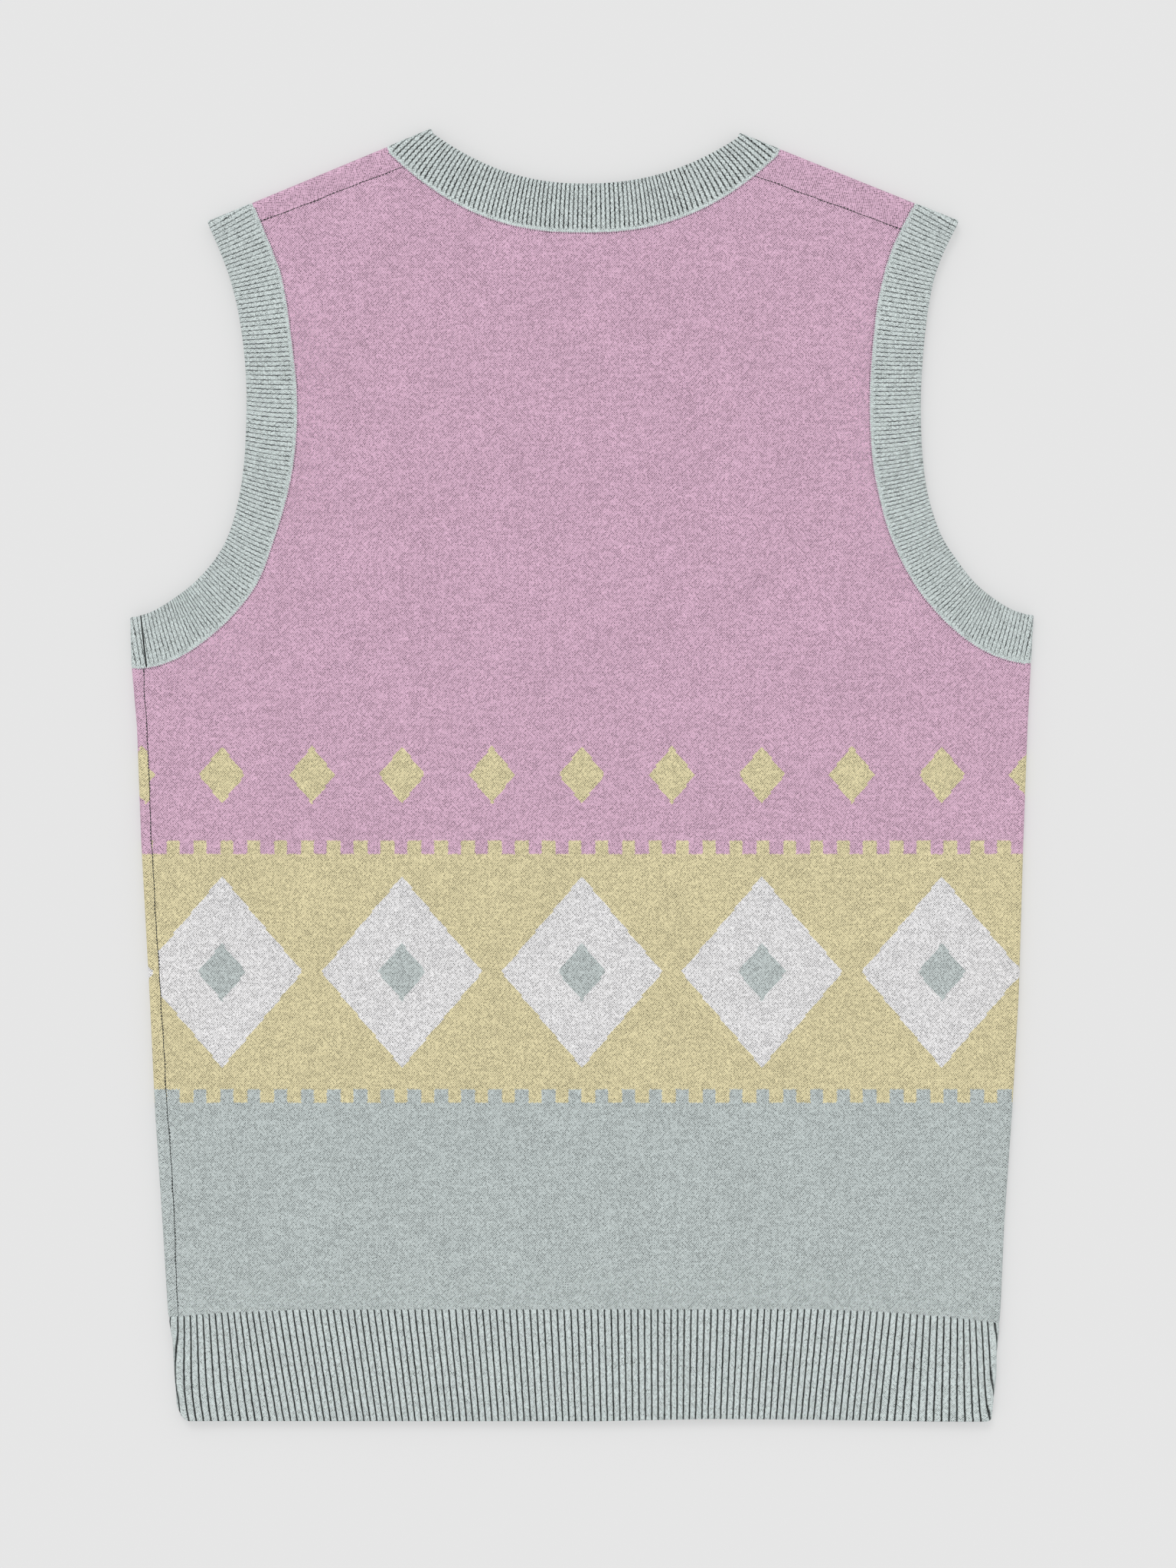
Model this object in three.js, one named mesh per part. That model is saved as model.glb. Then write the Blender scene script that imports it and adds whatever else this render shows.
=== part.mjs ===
import * as THREE from 'three';

// A knitted sleeveless vest laid out flat with its back upwards.
// X runs across, Y from the hem to the neck, Z up from the surface it lies on.
// Sizes are in millimetres; "up" is a height above the hem's lower edge.

const FULL_LENGTH = 675.8;
const WALL = 2.0;
const LAYER_GAP = 0.9;
const FOLD_RADIUS = 2.0;
const FOLD_REACH = 30;
const SEAM_GAP = 0.3;
const SOFT_LIFT = 0.5;
const UNDERARM_TOP = 422;

const HEM_VALLEYS = 118;
const HEM_VALLEY_FIRST = -205.1;
const HEM_VALLEY_LAST = 202.9;
const HEM_VALLEY_HALF = 0.5;
const HEM_RIB_RISE = 0.75;

const ARMBAND_RIBS = 119;
const NECKBAND_RIBS = 100;
const BAND_RIB_RISE = 0.6;
const BAND_WIDTH = 26;
const RIBS_PER_INNER_STEP = 4;

const BODY_COLUMNS = 20;
const BODY_ROWS = 8;
const ARMHOLE_ROWS = 16;
const SHOULDER_STEPS = 4;
const FRONT_ARMHOLE_SHIFT = 5;
const RIGHT_SEAM_INSET = 6;

// The angle steps of a fold, from the middle of its bend to where the cloth lies flat.
const FOLD_INSETS = [0, 30, 60, 90].map(
  (degrees) => FOLD_RADIUS * (1 - Math.cos(THREE.MathUtils.degToRad(degrees))),
);

const SIDE_OUTLINE = [
  { up: 0, left: -209.6, right: 213.6 },
  { up: 7, left: -211.2, right: 214.4 },
  { up: 23, left: -212.8, right: 216.2 },
  { up: 40, left: -213.4, right: 216.9 },
  { up: 57, left: -216.4, right: 218.8 },
  { up: 103, left: -219.2, right: 220.8 },
  { up: 163, left: -223.2, right: 225.0 },
  { up: 223, left: -226.0, right: 228.4 },
  { up: 303, left: -230.4, right: 230.8 },
  { up: 363, left: -232.6, right: 233.0 },
  { up: 394, left: -235.3, right: 234.6 },
  { up: 421, left: -236.0, right: 236.0 },
];

// How far the left side seam lies in from the left edge, on the back.
const LEFT_SEAM_INSET = [
  { up: 0, inset: 4.4 },
  { up: 58, inset: 5.4 },
  { up: 128, inset: 7.0 },
  { up: 255, inset: 5.7 },
  { up: 383, inset: 5.4 },
  { up: 395, inset: 6.6 },
];

const HEM_SEAM = [
  { across: -216, up: 54.8 },
  { across: -184, up: 57.2 },
  { across: -144, up: 58.6 },
  { across: 0, up: 58.8 },
  { across: 120, up: 59.0 },
  { across: 156, up: 57.6 },
  { across: 192, up: 54.8 },
  { across: 218, up: 51.6 },
];

const HEM_EDGE = [
  { across: -204, up: 0.3 },
  { across: 8, up: 0.2 },
  { across: 66, up: 1.4 },
  { across: 120, up: 1.0 },
  { across: 185, up: 0.0 },
  { across: 214, up: 0.0 },
];

// Where a hem rib starts, how far its foot leans, and how far its middle bows.
const HEM_RIB_LEAN = [
  { across: -208.3, lean: 2.7, bow: -1.0 },
  { across: -188.8, lean: 7.3, bow: -0.4 },
  { across: -171.6, lean: 9.2, bow: 0.0 },
  { across: -143.8, lean: 9.5, bow: 0.0 },
  { across: -111.2, lean: 7.4, bow: 0.0 },
  { across: -33.3, lean: 4.0, bow: 0.0 },
  { across: 53.6, lean: 0.0, bow: 0.0 },
  { across: 116.3, lean: -4.4, bow: 0.0 },
  { across: 148.0, lean: -6.5, bow: 0.2 },
  { across: 171.5, lean: -4.0, bow: 0.7 },
  { across: 192.6, lean: -1.0, bow: 1.0 },
  { across: 206.0, lean: 3.8, bow: 0.0 },
];

const CORNER_LIFT = {
  left: { height: 6.6, reach: 8 },
  right: { height: 1.2, reach: 3 },
};

// Each shoulder is a straight fold from the armband's tip to the neckband's tip.
const SHOULDER_FOLD = {
  left: { tip: [-195.8, 627.2], slope: 0.4154 },
  right: { tip: [197.0, 627.6], slope: -0.4014 },
};

const SHOULDER_SEAM = {
  left: { alongArmhole: 8.0, alongNeck: 11.0 },
  right: { alongArmhole: 12.5, alongNeck: 17.0 },
};

// Where an armband's two edges leave the shoulder fold and reach the side fold.
const ARMHOLE_ENDS = {
  left: { seamAcross: -172.4, seamUp: 393.6, edgeAcross: -195.8, edgeUp: 420.5 },
  right: { seamAcross: 174.0, seamUp: 396.2, edgeAcross: 197.0, edgeUp: 421.6 },
};

const ARMHOLE_SEAM = {
  left: [
    [-166.5, 622.8], [-161.6, 610.8], [-157.4, 598.8], [-154.4, 582.8], [-151.8, 562.8],
    [-149.6, 542.8], [-149.2, 522.8], [-150.8, 502.8], [-154.6, 482.8], [-160.6, 462.8],
    [-169.6, 438.8], [-181.4, 422.8], [-197.5, 408.0], [-212.2, 398.8], [-223.6, 394.8],
  ],
  right: [
    [167.0, 622.8], [161.6, 610.8], [158.0, 598.8], [154.6, 582.8], [152.4, 562.8],
    [151.0, 542.8], [150.9, 522.8], [152.2, 502.8], [155.8, 482.8], [161.6, 462.8],
    [173.4, 438.8], [185.8, 422.8], [198.5, 410.8], [210.4, 403.0], [221.0, 398.6],
  ],
};

const ARMBAND_EDGE = {
  left: [
    [-188.8, 610.8], [-184.4, 598.8], [-180.2, 582.8], [-177.0, 562.8], [-175.4, 542.8],
    [-175.4, 522.8], [-176.4, 502.8], [-179.2, 482.8], [-184.9, 462.8], [-191.6, 450.8],
    [-202.2, 438.8], [-212.4, 430.8], [-224.0, 423.6],
  ],
  right: [
    [189.0, 610.8], [184.6, 598.8], [181.2, 582.8], [178.8, 562.8], [177.4, 542.8],
    [177.2, 522.8], [178.2, 502.8], [181.2, 482.8], [188.0, 462.8], [195.6, 450.8],
    [205.0, 438.8], [214.6, 430.6], [224.2, 424.6],
  ],
};

const NECK_SEAM = { middle: 1, low: 621.6, power: 2.4, tips: { left: -102.0, right: 103.6 } };
const NECK_EDGE = { middle: 1.5, low: 647.0, power: 2.2, tips: { left: -78.8, right: 82.4 } };
const FRONT_NECK = { middle: 1, seamPoint: 452, edgePoint: 500, hollow: 9 };

// Faint troughs in the upper sheet, where the cloth settles.
const TROUGHS = [
  { across: -168, up: 380, along: 85, wide: 20, turn: -38, depth: 0.45 },
  { across: 172, up: 384, along: 85, wide: 20, turn: 38, depth: 0.45 },
  { across: -120, up: 560, along: 60, wide: 18, turn: 70, depth: 0.35 },
  { across: 118, up: 566, along: 60, wide: 18, turn: -72, depth: 0.35 },
  { across: -30, up: 250, along: 150, wide: 34, turn: 84, depth: 0.3 },
  { across: 95, up: 170, along: 120, wide: 30, turn: 98, depth: 0.3 },
];

const COLOURS = {
  back_panel: 0xd6a9c6,
  front_panel: 0xcfa2bf,
  back_hem_rib: 0xbccac8,
  front_hem_rib: 0xb2c1bf,
  neckband: 0xbfcdcb,
  armband_left: 0xc0cecb,
  armband_right: 0xbdccca,
};

// Reads one column of a table at a place between its rows.
function readTable(table, key, place, column) {
  let low = table[0];
  for (const row of table) {
    if (place <= row[key]) {
      const span = row[key] - low[key];
      const share = span > 0 ? (place - low[key]) / span : 0;
      return THREE.MathUtils.lerp(low[column], row[column], Math.max(share, 0));
    }
    low = row;
  }
  return low[column];
}

function sideX(side, up) {
  return readTable(SIDE_OUTLINE, 'up', up, side);
}

function inwardOfShoulder(side) {
  const slope = SHOULDER_FOLD[side].slope;
  const length = Math.hypot(1, slope);
  return [slope / length, -1 / length];
}

function onShoulderLine(side, x) {
  const { tip, slope } = SHOULDER_FOLD[side];
  return [x, tip[1] + slope * (x - tip[0])];
}

// The nearer of the side fold and the shoulder fold, with the way in from it.
function nearestFold(x, up) {
  const side = x < 0 ? 'left' : 'right';
  const inwardX = x < 0 ? 1 : -1;
  const edge = sideX(side, Math.min(up, UNDERARM_TOP));
  const fromSide = (x - edge) * inwardX - WALL / 2;
  const past = Math.max(up - UNDERARM_TOP, 0);
  const shoulder = inwardOfShoulder(side);
  const tip = SHOULDER_FOLD[side].tip;
  const fromShoulder = (x - tip[0]) * shoulder[0] + (up - tip[1]) * shoulder[1] - WALL / 2;
  const sideInset = past > 0 ? Math.hypot(Math.max(fromSide, 0), past) : fromSide;
  if (sideInset < fromShoulder) {
    return { inset: Math.max(sideInset, 0), inward: [inwardX, 0] };
  }
  return { inset: Math.max(fromShoulder, 0), inward: shoulder };
}

function troughDepth(x, up) {
  let depth = 0;
  for (const trough of TROUGHS) {
    const turn = THREE.MathUtils.degToRad(trough.turn);
    const dx = x - trough.across;
    const dy = up - trough.up;
    const along = (dx * Math.cos(turn) + dy * Math.sin(turn)) / trough.along;
    const aside = (dy * Math.cos(turn) - dx * Math.sin(turn)) / trough.wide;
    depth += trough.depth * Math.exp(-along * along - aside * aside);
  }
  return Math.min(depth, SOFT_LIFT);
}

// Height of the upper sheet's middle: fuller beside a fold, flatter further in.
function upperSheetHeight(x, up, inset) {
  const share = Math.min((inset - FOLD_RADIUS) / (FOLD_REACH - FOLD_RADIUS), 1);
  const fullness = (1 - share) ** 2 * (1 + 2 * share);
  const flat = WALL * 1.5 + LAYER_GAP + SOFT_LIFT - troughDepth(x, up);
  const full = WALL / 2 + 2 * FOLD_RADIUS;
  return THREE.MathUtils.lerp(flat, full, fullness);
}

// The middle of the cloth and the way its outer face looks; layer 1 is the back, -1 the front.
function clothPoint(x, up, layer) {
  const { inset, inward } = nearestFold(x, up);
  const cosine = 1 - Math.min(inset / FOLD_RADIUS, 1);
  const sine = Math.sqrt(Math.max(1 - cosine * cosine, 0));
  const bent = inset <= FOLD_RADIUS || layer < 0;
  const height = bent
    ? WALL / 2 + FOLD_RADIUS + layer * FOLD_RADIUS * sine
    : upperSheetHeight(x, up, inset);
  return {
    place: new THREE.Vector3(x, up - FULL_LENGTH / 2, height),
    facing: new THREE.Vector3(-cosine * inward[0], -cosine * inward[1], layer * sine),
  };
}

function lerpPoint(a, b, share) {
  return [a[0] + (b[0] - a[0]) * share, a[1] + (b[1] - a[1]) * share];
}

function lineLengths(line) {
  const lengths = [0];
  for (let i = 1; i < line.length; i += 1) {
    const step = Math.hypot(line[i][0] - line[i - 1][0], line[i][1] - line[i - 1][1]);
    lengths.push(lengths[i - 1] + step);
  }
  return lengths;
}

function pointAlong(line, share) {
  const lengths = lineLengths(line);
  const target = share * lengths[lengths.length - 1];
  let i = 1;
  while (i < line.length - 1 && lengths[i] < target) {
    i += 1;
  }
  const span = lengths[i] - lengths[i - 1];
  return lerpPoint(line[i - 1], line[i], span > 0 ? (target - lengths[i - 1]) / span : 0);
}

function evenPoints(line, from, to, count) {
  const points = [];
  for (let i = 0; i <= count; i += 1) {
    points.push(pointAlong(line, from + ((to - from) * i) / count));
  }
  return points;
}

function smoothLine(points) {
  const knots = points.map(([x, y]) => new THREE.Vector3(x, y, 0));
  const curve = new THREE.CatmullRomCurve3(knots, false, 'centripetal');
  return curve.getPoints(160).map((point) => [point.x, point.y]);
}

// The front's armhole is cut a little further in than the back's.
function shiftedInward(line) {
  const lengths = lineLengths(line);
  const total = lengths[lengths.length - 1];
  return line.map(([x, y], i) => {
    const swell = Math.sin((Math.PI * lengths[i]) / total) ** 2;
    return [x - Math.sign(x) * FRONT_ARMHOLE_SHIFT * swell, y];
  });
}

// Points down from a shoulder fold, square to it, one for each step of its bend.
function shoulderBend(side, x) {
  const onEdge = onShoulderLine(side, x);
  const inward = inwardOfShoulder(side);
  return FOLD_INSETS.map((inset) => {
    const depth = inset + WALL / 2;
    return [onEdge[0] + inward[0] * depth, onEdge[1] + inward[1] * depth];
  });
}

// Points in from a side fold at one height, one for each step of its bend.
function sideBend(side, up) {
  const inwardX = side === 'left' ? 1 : -1;
  return FOLD_INSETS.map((inset) => [sideX(side, up) + inwardX * (inset + WALL / 2), up]);
}

// A rounded back neckline between the two shoulder bends.
function neckLine(shape) {
  const left = shoulderBend('left', shape.tips.left).at(-1);
  const right = shoulderBend('right', shape.tips.right).at(-1);
  const line = [];
  for (let i = 0; i <= 160; i += 1) {
    const x = THREE.MathUtils.lerp(left[0], right[0], i / 160);
    const end = x < shape.middle ? left : right;
    const share = Math.abs((x - shape.middle) / (end[0] - shape.middle));
    line.push([x, shape.low + (end[1] - shape.low) * share ** shape.power]);
  }
  return line;
}

// The front's V-neck, each side slightly hollowed.
function frontNeckLine(shape, point) {
  const left = shoulderBend('left', shape.tips.left).at(-1);
  const right = shoulderBend('right', shape.tips.right).at(-1);
  const line = [];
  for (let i = 0; i <= 60; i += 1) {
    const share = Math.abs(i - 30) / 30;
    const end = i < 30 ? left : right;
    const bend = FRONT_NECK.hollow * Math.sin(Math.PI * share);
    const x = FRONT_NECK.middle + (end[0] - FRONT_NECK.middle) * share;
    line.push([x + Math.sign(end[0]) * bend, point + (end[1] - point) * share]);
  }
  return line;
}

function shareAt(line, distance) {
  return distance / lineLengths(line).at(-1);
}

function hemSeamUp(x) {
  return readTable(HEM_SEAM, 'across', x, 'up');
}

function leftSeamX(up) {
  return sideX('left', up) + readTable(LEFT_SEAM_INSET, 'up', up, 'inset');
}

function rightSeamX(up) {
  return sideX('right', up) - RIGHT_SEAM_INSET;
}

// Distances along the armholes and the neckline at which one piece meets the next.
function armholeShares(side) {
  const ends = ARMHOLE_ENDS[side];
  const line = smoothLine([
    shoulderBend(side, ends.seamAcross).at(-1),
    ...ARMHOLE_SEAM[side],
    sideBend(side, ends.seamUp).at(-1),
  ]);
  const shoulder = SHOULDER_SEAM[side].alongArmhole;
  const half = SEAM_GAP / 2;
  const backOffset = side === 'left' ? -half : half;
  const sideSeam = lineLengths(line).at(-1) - (side === 'left' ? 3.7 : 3.0);
  return {
    line,
    flap: shareAt(line, shoulder - half),
    back: shareAt(line, shoulder + half),
    sideBack: shareAt(line, sideSeam + backOffset),
    sideFront: shareAt(line, sideSeam - backOffset),
  };
}

function neckShares() {
  const line = neckLine(NECK_SEAM);
  const half = SEAM_GAP / 2;
  const { left, right } = SHOULDER_SEAM;
  return {
    line,
    flapLeft: shareAt(line, left.alongNeck - half),
    backLeft: shareAt(line, left.alongNeck + half),
    backRight: 1 - shareAt(line, right.alongNeck + half),
    flapRight: 1 - shareAt(line, right.alongNeck - half),
  };
}

// The corners and edges that the panels and the bands share.
function buildArmhole(side) {
  const shares = armholeShares(side);
  const shoulderTop = shoulderBend(side, ARMHOLE_ENDS[side].seamAcross);
  const sideTop = sideBend(side, ARMHOLE_ENDS[side].seamUp);
  const frontLine = shiftedInward(shares.line);
  const wrapsFromFront = side === 'left';
  const lastOnBack = wrapsFromFront ? shares.sideBack : 1;
  const backEdge = evenPoints(shares.line, shares.back, lastOnBack, ARMHOLE_ROWS);
  const lastOnFront = wrapsFromFront ? 1 : shares.sideFront;
  const frontEdge = evenPoints(frontLine, 0, lastOnFront, ARMHOLE_ROWS);
  return {
    shoulderTop,
    sideTop,
    backEdge,
    frontEdge,
    flapCorner: pointAlong(shares.line, shares.flap),
    sideFlapCorner: pointAlong(shares.line, shares.sideFront),
    sideBackCorner: pointAlong(frontLine, shares.sideBack),
  };
}

const ARMHOLES = { left: buildArmhole('left'), right: buildArmhole('right') };

function buildNeck() {
  const shares = neckShares();
  return {
    leftTop: shoulderBend('left', NECK_SEAM.tips.left),
    rightTop: shoulderBend('right', NECK_SEAM.tips.right),
    backEdge: evenPoints(shares.line, shares.backLeft, shares.backRight, 12),
    frontEdge: evenPoints(frontNeckLine(NECK_SEAM, FRONT_NECK.seamPoint), 0, 1, 12),
    flapLeft: pointAlong(shares.line, shares.flapLeft),
    flapRight: pointAlong(shares.line, shares.flapRight),
  };
}

const NECK = buildNeck();

// A sheet made of patches that share their edges, thickened into one closed wall.
class Sheet {
  constructor() {
    this.points = [];
    this.triangles = [];
  }

  indexOf([x, up, layer]) {
    const point = clothPoint(x, up, layer);
    const known = this.points.findIndex(({ place }) => place.distanceTo(point.place) < 0.002);
    if (known >= 0) {
      return known;
    }
    this.points.push(point);
    return this.points.length - 1;
  }

  addGrid(rows) {
    const indexed = rows.map((row) => row.map((point) => this.indexOf(point)));
    for (let j = 0; j < indexed.length - 1; j += 1) {
      for (let i = 0; i < indexed[j].length - 1; i += 1) {
        const [a, b] = [indexed[j][i], indexed[j][i + 1]];
        const [d, c] = [indexed[j + 1][i], indexed[j + 1][i + 1]];
        this.triangles.push([a, b, c], [a, c, d]);
      }
    }
  }

  thickened() {
    const count = this.points.length;
    const faces = [];
    const directed = new Set();
    for (const [a, b, c] of this.triangles) {
      faces.push([a, b, c], [a + count, c + count, b + count]);
      directed.add(`${a} ${b}`).add(`${b} ${c}`).add(`${c} ${a}`);
    }
    for (const edge of directed) {
      const [a, b] = edge.split(' ').map(Number);
      if (!directed.has(`${b} ${a}`)) {
        faces.push([b, a, a + count], [b, a + count, b + count]);
      }
    }
    const outer = this.points.map((point) => faceOf(point, WALL / 2));
    const inner = this.points.map((point) => faceOf(point, -WALL / 2));
    return closedGeometry([...outer, ...inner], faces);
  }
}

function faceOf({ place, facing }, distance) {
  return place.clone().addScaledVector(facing, distance);
}

// Builds a closed geometry and turns its faces outwards.
function closedGeometry(vertices, faces) {
  let volume = 0;
  for (const [a, b, c] of faces) {
    volume += vertices[a].dot(vertices[b].clone().cross(vertices[c]));
  }
  const index = faces.flatMap(([a, b, c]) => (volume > 0 ? [a, b, c] : [a, c, b]));
  const geometry = new THREE.BufferGeometry();
  const flat = vertices.flatMap((vertex) => [vertex.x, vertex.y, vertex.z]);
  geometry.setAttribute('position', new THREE.Float32BufferAttribute(flat, 3));
  geometry.setIndex(index);
  geometry.computeVertexNormals();
  return geometry;
}

// Four edges filled with a grid that keeps to all of them.
function filledPatch(bottom, top, left, right, layer) {
  const rows = [];
  const last = bottom.length - 1;
  for (let j = 0; j < left.length; j += 1) {
    const v = j / (left.length - 1);
    const startSlack = lerpPoint(bottom[0], top[0], v);
    const endSlack = lerpPoint(bottom[last], top[last], v);
    const row = bottom.map((low, i) => {
      const u = i / last;
      const plain = lerpPoint(low, top[i], v);
      const axis = (k) => plain[k]
        + (1 - u) * (left[j][k] - startSlack[k])
        + u * (right[j][k] - endSlack[k]);
      return [axis(0), axis(1), layer];
    });
    rows.push(row);
  }
  return rows;
}

function onLayer(points, layer) {
  return points.map(([x, up]) => [x, up, layer]);
}

function evenRow(from, to, count) {
  return evenPoints([from, to], 0, 1, count);
}

// One row of the back: the left seam, the flat, the right fold, the right seam below.
function backRow(upAt) {
  const left = [leftSeamX(upAt(-1)) + SEAM_GAP / 2, upAt(-1)];
  const bend = sideBend('right', upAt(1));
  const flat = evenRow(left, bend.at(-1), BODY_COLUMNS);
  const under = [rightSeamX(upAt(1)) + SEAM_GAP / 2, upAt(1)];
  return [
    ...onLayer(flat, 1),
    ...onLayer(bend.slice(0, -1).reverse(), 1),
    ...onLayer(bend.slice(1), -1),
    [...under, -1],
  ];
}

// One row of the front: the left seam on top, the left fold, the flat, the right seam.
function frontRow(upAt) {
  const over = [leftSeamX(upAt(-1)) - SEAM_GAP / 2, upAt(-1)];
  const bend = sideBend('left', upAt(-1));
  const right = [rightSeamX(upAt(1)) - SEAM_GAP / 2, upAt(1)];
  const flat = evenRow(bend.at(-1), right, BODY_COLUMNS);
  return [
    [...over, 1],
    ...onLayer([...bend].reverse(), 1),
    ...onLayer(bend.slice(1, -1), -1),
    ...onLayer(flat, -1),
  ];
}

// Rows between two rows of the same count, each point moving straight up its column.
function rowsBetween(low, high, count, makeRow) {
  const rows = [low];
  for (let j = 1; j < count; j += 1) {
    const share = j / count;
    rows.push(makeRow(share));
  }
  rows.push(high);
  return rows;
}

function onHemSeam(row) {
  return row.map(([x, , layer]) => [x, hemSeamUp(x), layer]);
}

function backPanel() {
  const sheet = new Sheet();
  const { left, right } = ARMHOLES;
  const bottomEnds = (end) => hemSeamUp(end < 0 ? -211 : 218);
  const underarmLeft = left.backEdge.at(-1);
  const underarmRight = right.backEdge.at(-1);
  const flatTop = evenRow(underarmLeft, underarmRight, BODY_COLUMNS);
  const topRow = [
    ...onLayer(flatTop, 1),
    ...onLayer(right.sideTop.slice(0, -1).reverse(), 1),
    ...onLayer(right.sideTop.slice(1), -1),
    [...right.sideBackCorner, -1],
  ];
  const upAt = (share) => (end) => THREE.MathUtils.lerp(
    bottomEnds(end),
    end < 0 ? underarmLeft[1] : underarmRight[1],
    share,
  );
  const lowRow = onHemSeam(backRow(bottomEnds));
  sheet.addGrid(rowsBetween(lowRow, topRow, BODY_ROWS, (share) => backRow(upAt(share))));

  const topEdge = [
    ...evenRow(left.backEdge[0], NECK.backEdge[0], SHOULDER_STEPS).slice(0, -1),
    ...NECK.backEdge,
    ...evenRow(NECK.backEdge.at(-1), right.backEdge[0], SHOULDER_STEPS).slice(1),
  ];
  const upper = filledPatch(
    flatTop,
    topEdge,
    [...left.backEdge].reverse(),
    [...right.backEdge].reverse(),
    1,
  );
  sheet.addGrid(upper);
  return sheet.thickened();
}

// The part of the front that passes over a shoulder and meets the back's seam.
function shoulderFlap(armhole, neckTop, neckCorner, mirrored) {
  const ends = (a, b) => evenRow(mirrored ? b : a, mirrored ? a : b, SHOULDER_STEPS);
  const { shoulderTop, flapCorner } = armhole;
  const bottomSide = [3, 2, 1, 0].map((k) => onLayer(ends(shoulderTop[k], neckTop[k]), -1));
  const topSide = [1, 2, 3].map((k) => onLayer(ends(shoulderTop[k], neckTop[k]), 1));
  return [...bottomSide, ...topSide, onLayer(ends(flapCorner, neckCorner), 1)];
}

function frontPanel() {
  const sheet = new Sheet();
  const { left, right } = ARMHOLES;
  const bottomEnds = (end) => hemSeamUp(end < 0 ? -216 : 212);
  const underarmLeft = left.frontEdge.at(-1);
  const underarmRight = right.frontEdge.at(-1);
  const flatTop = evenRow(underarmLeft, underarmRight, BODY_COLUMNS);
  const topRow = [
    [...left.sideFlapCorner, 1],
    ...onLayer([...left.sideTop].reverse(), 1),
    ...onLayer(left.sideTop.slice(1, -1), -1),
    ...onLayer(flatTop, -1),
  ];
  const upAt = (share) => (end) => THREE.MathUtils.lerp(
    bottomEnds(end),
    end < 0 ? underarmLeft[1] : underarmRight[1],
    share,
  );
  const lowRow = onHemSeam(frontRow(bottomEnds));
  sheet.addGrid(rowsBetween(lowRow, topRow, BODY_ROWS, (share) => frontRow(upAt(share))));

  const topEdge = [
    ...evenRow(left.shoulderTop.at(-1), NECK.leftTop.at(-1), SHOULDER_STEPS).slice(0, -1),
    ...NECK.frontEdge,
    ...evenRow(NECK.rightTop.at(-1), right.shoulderTop.at(-1), SHOULDER_STEPS).slice(1),
  ];
  const upper = filledPatch(
    flatTop,
    topEdge,
    [...left.frontEdge].reverse(),
    [...right.frontEdge].reverse(),
    -1,
  );
  sheet.addGrid(upper);
  sheet.addGrid(shoulderFlap(left, NECK.leftTop, NECK.flapLeft, false));
  sheet.addGrid(shoulderFlap(right, NECK.rightTop, NECK.flapRight, true));
  return sheet.thickened();
}

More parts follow.
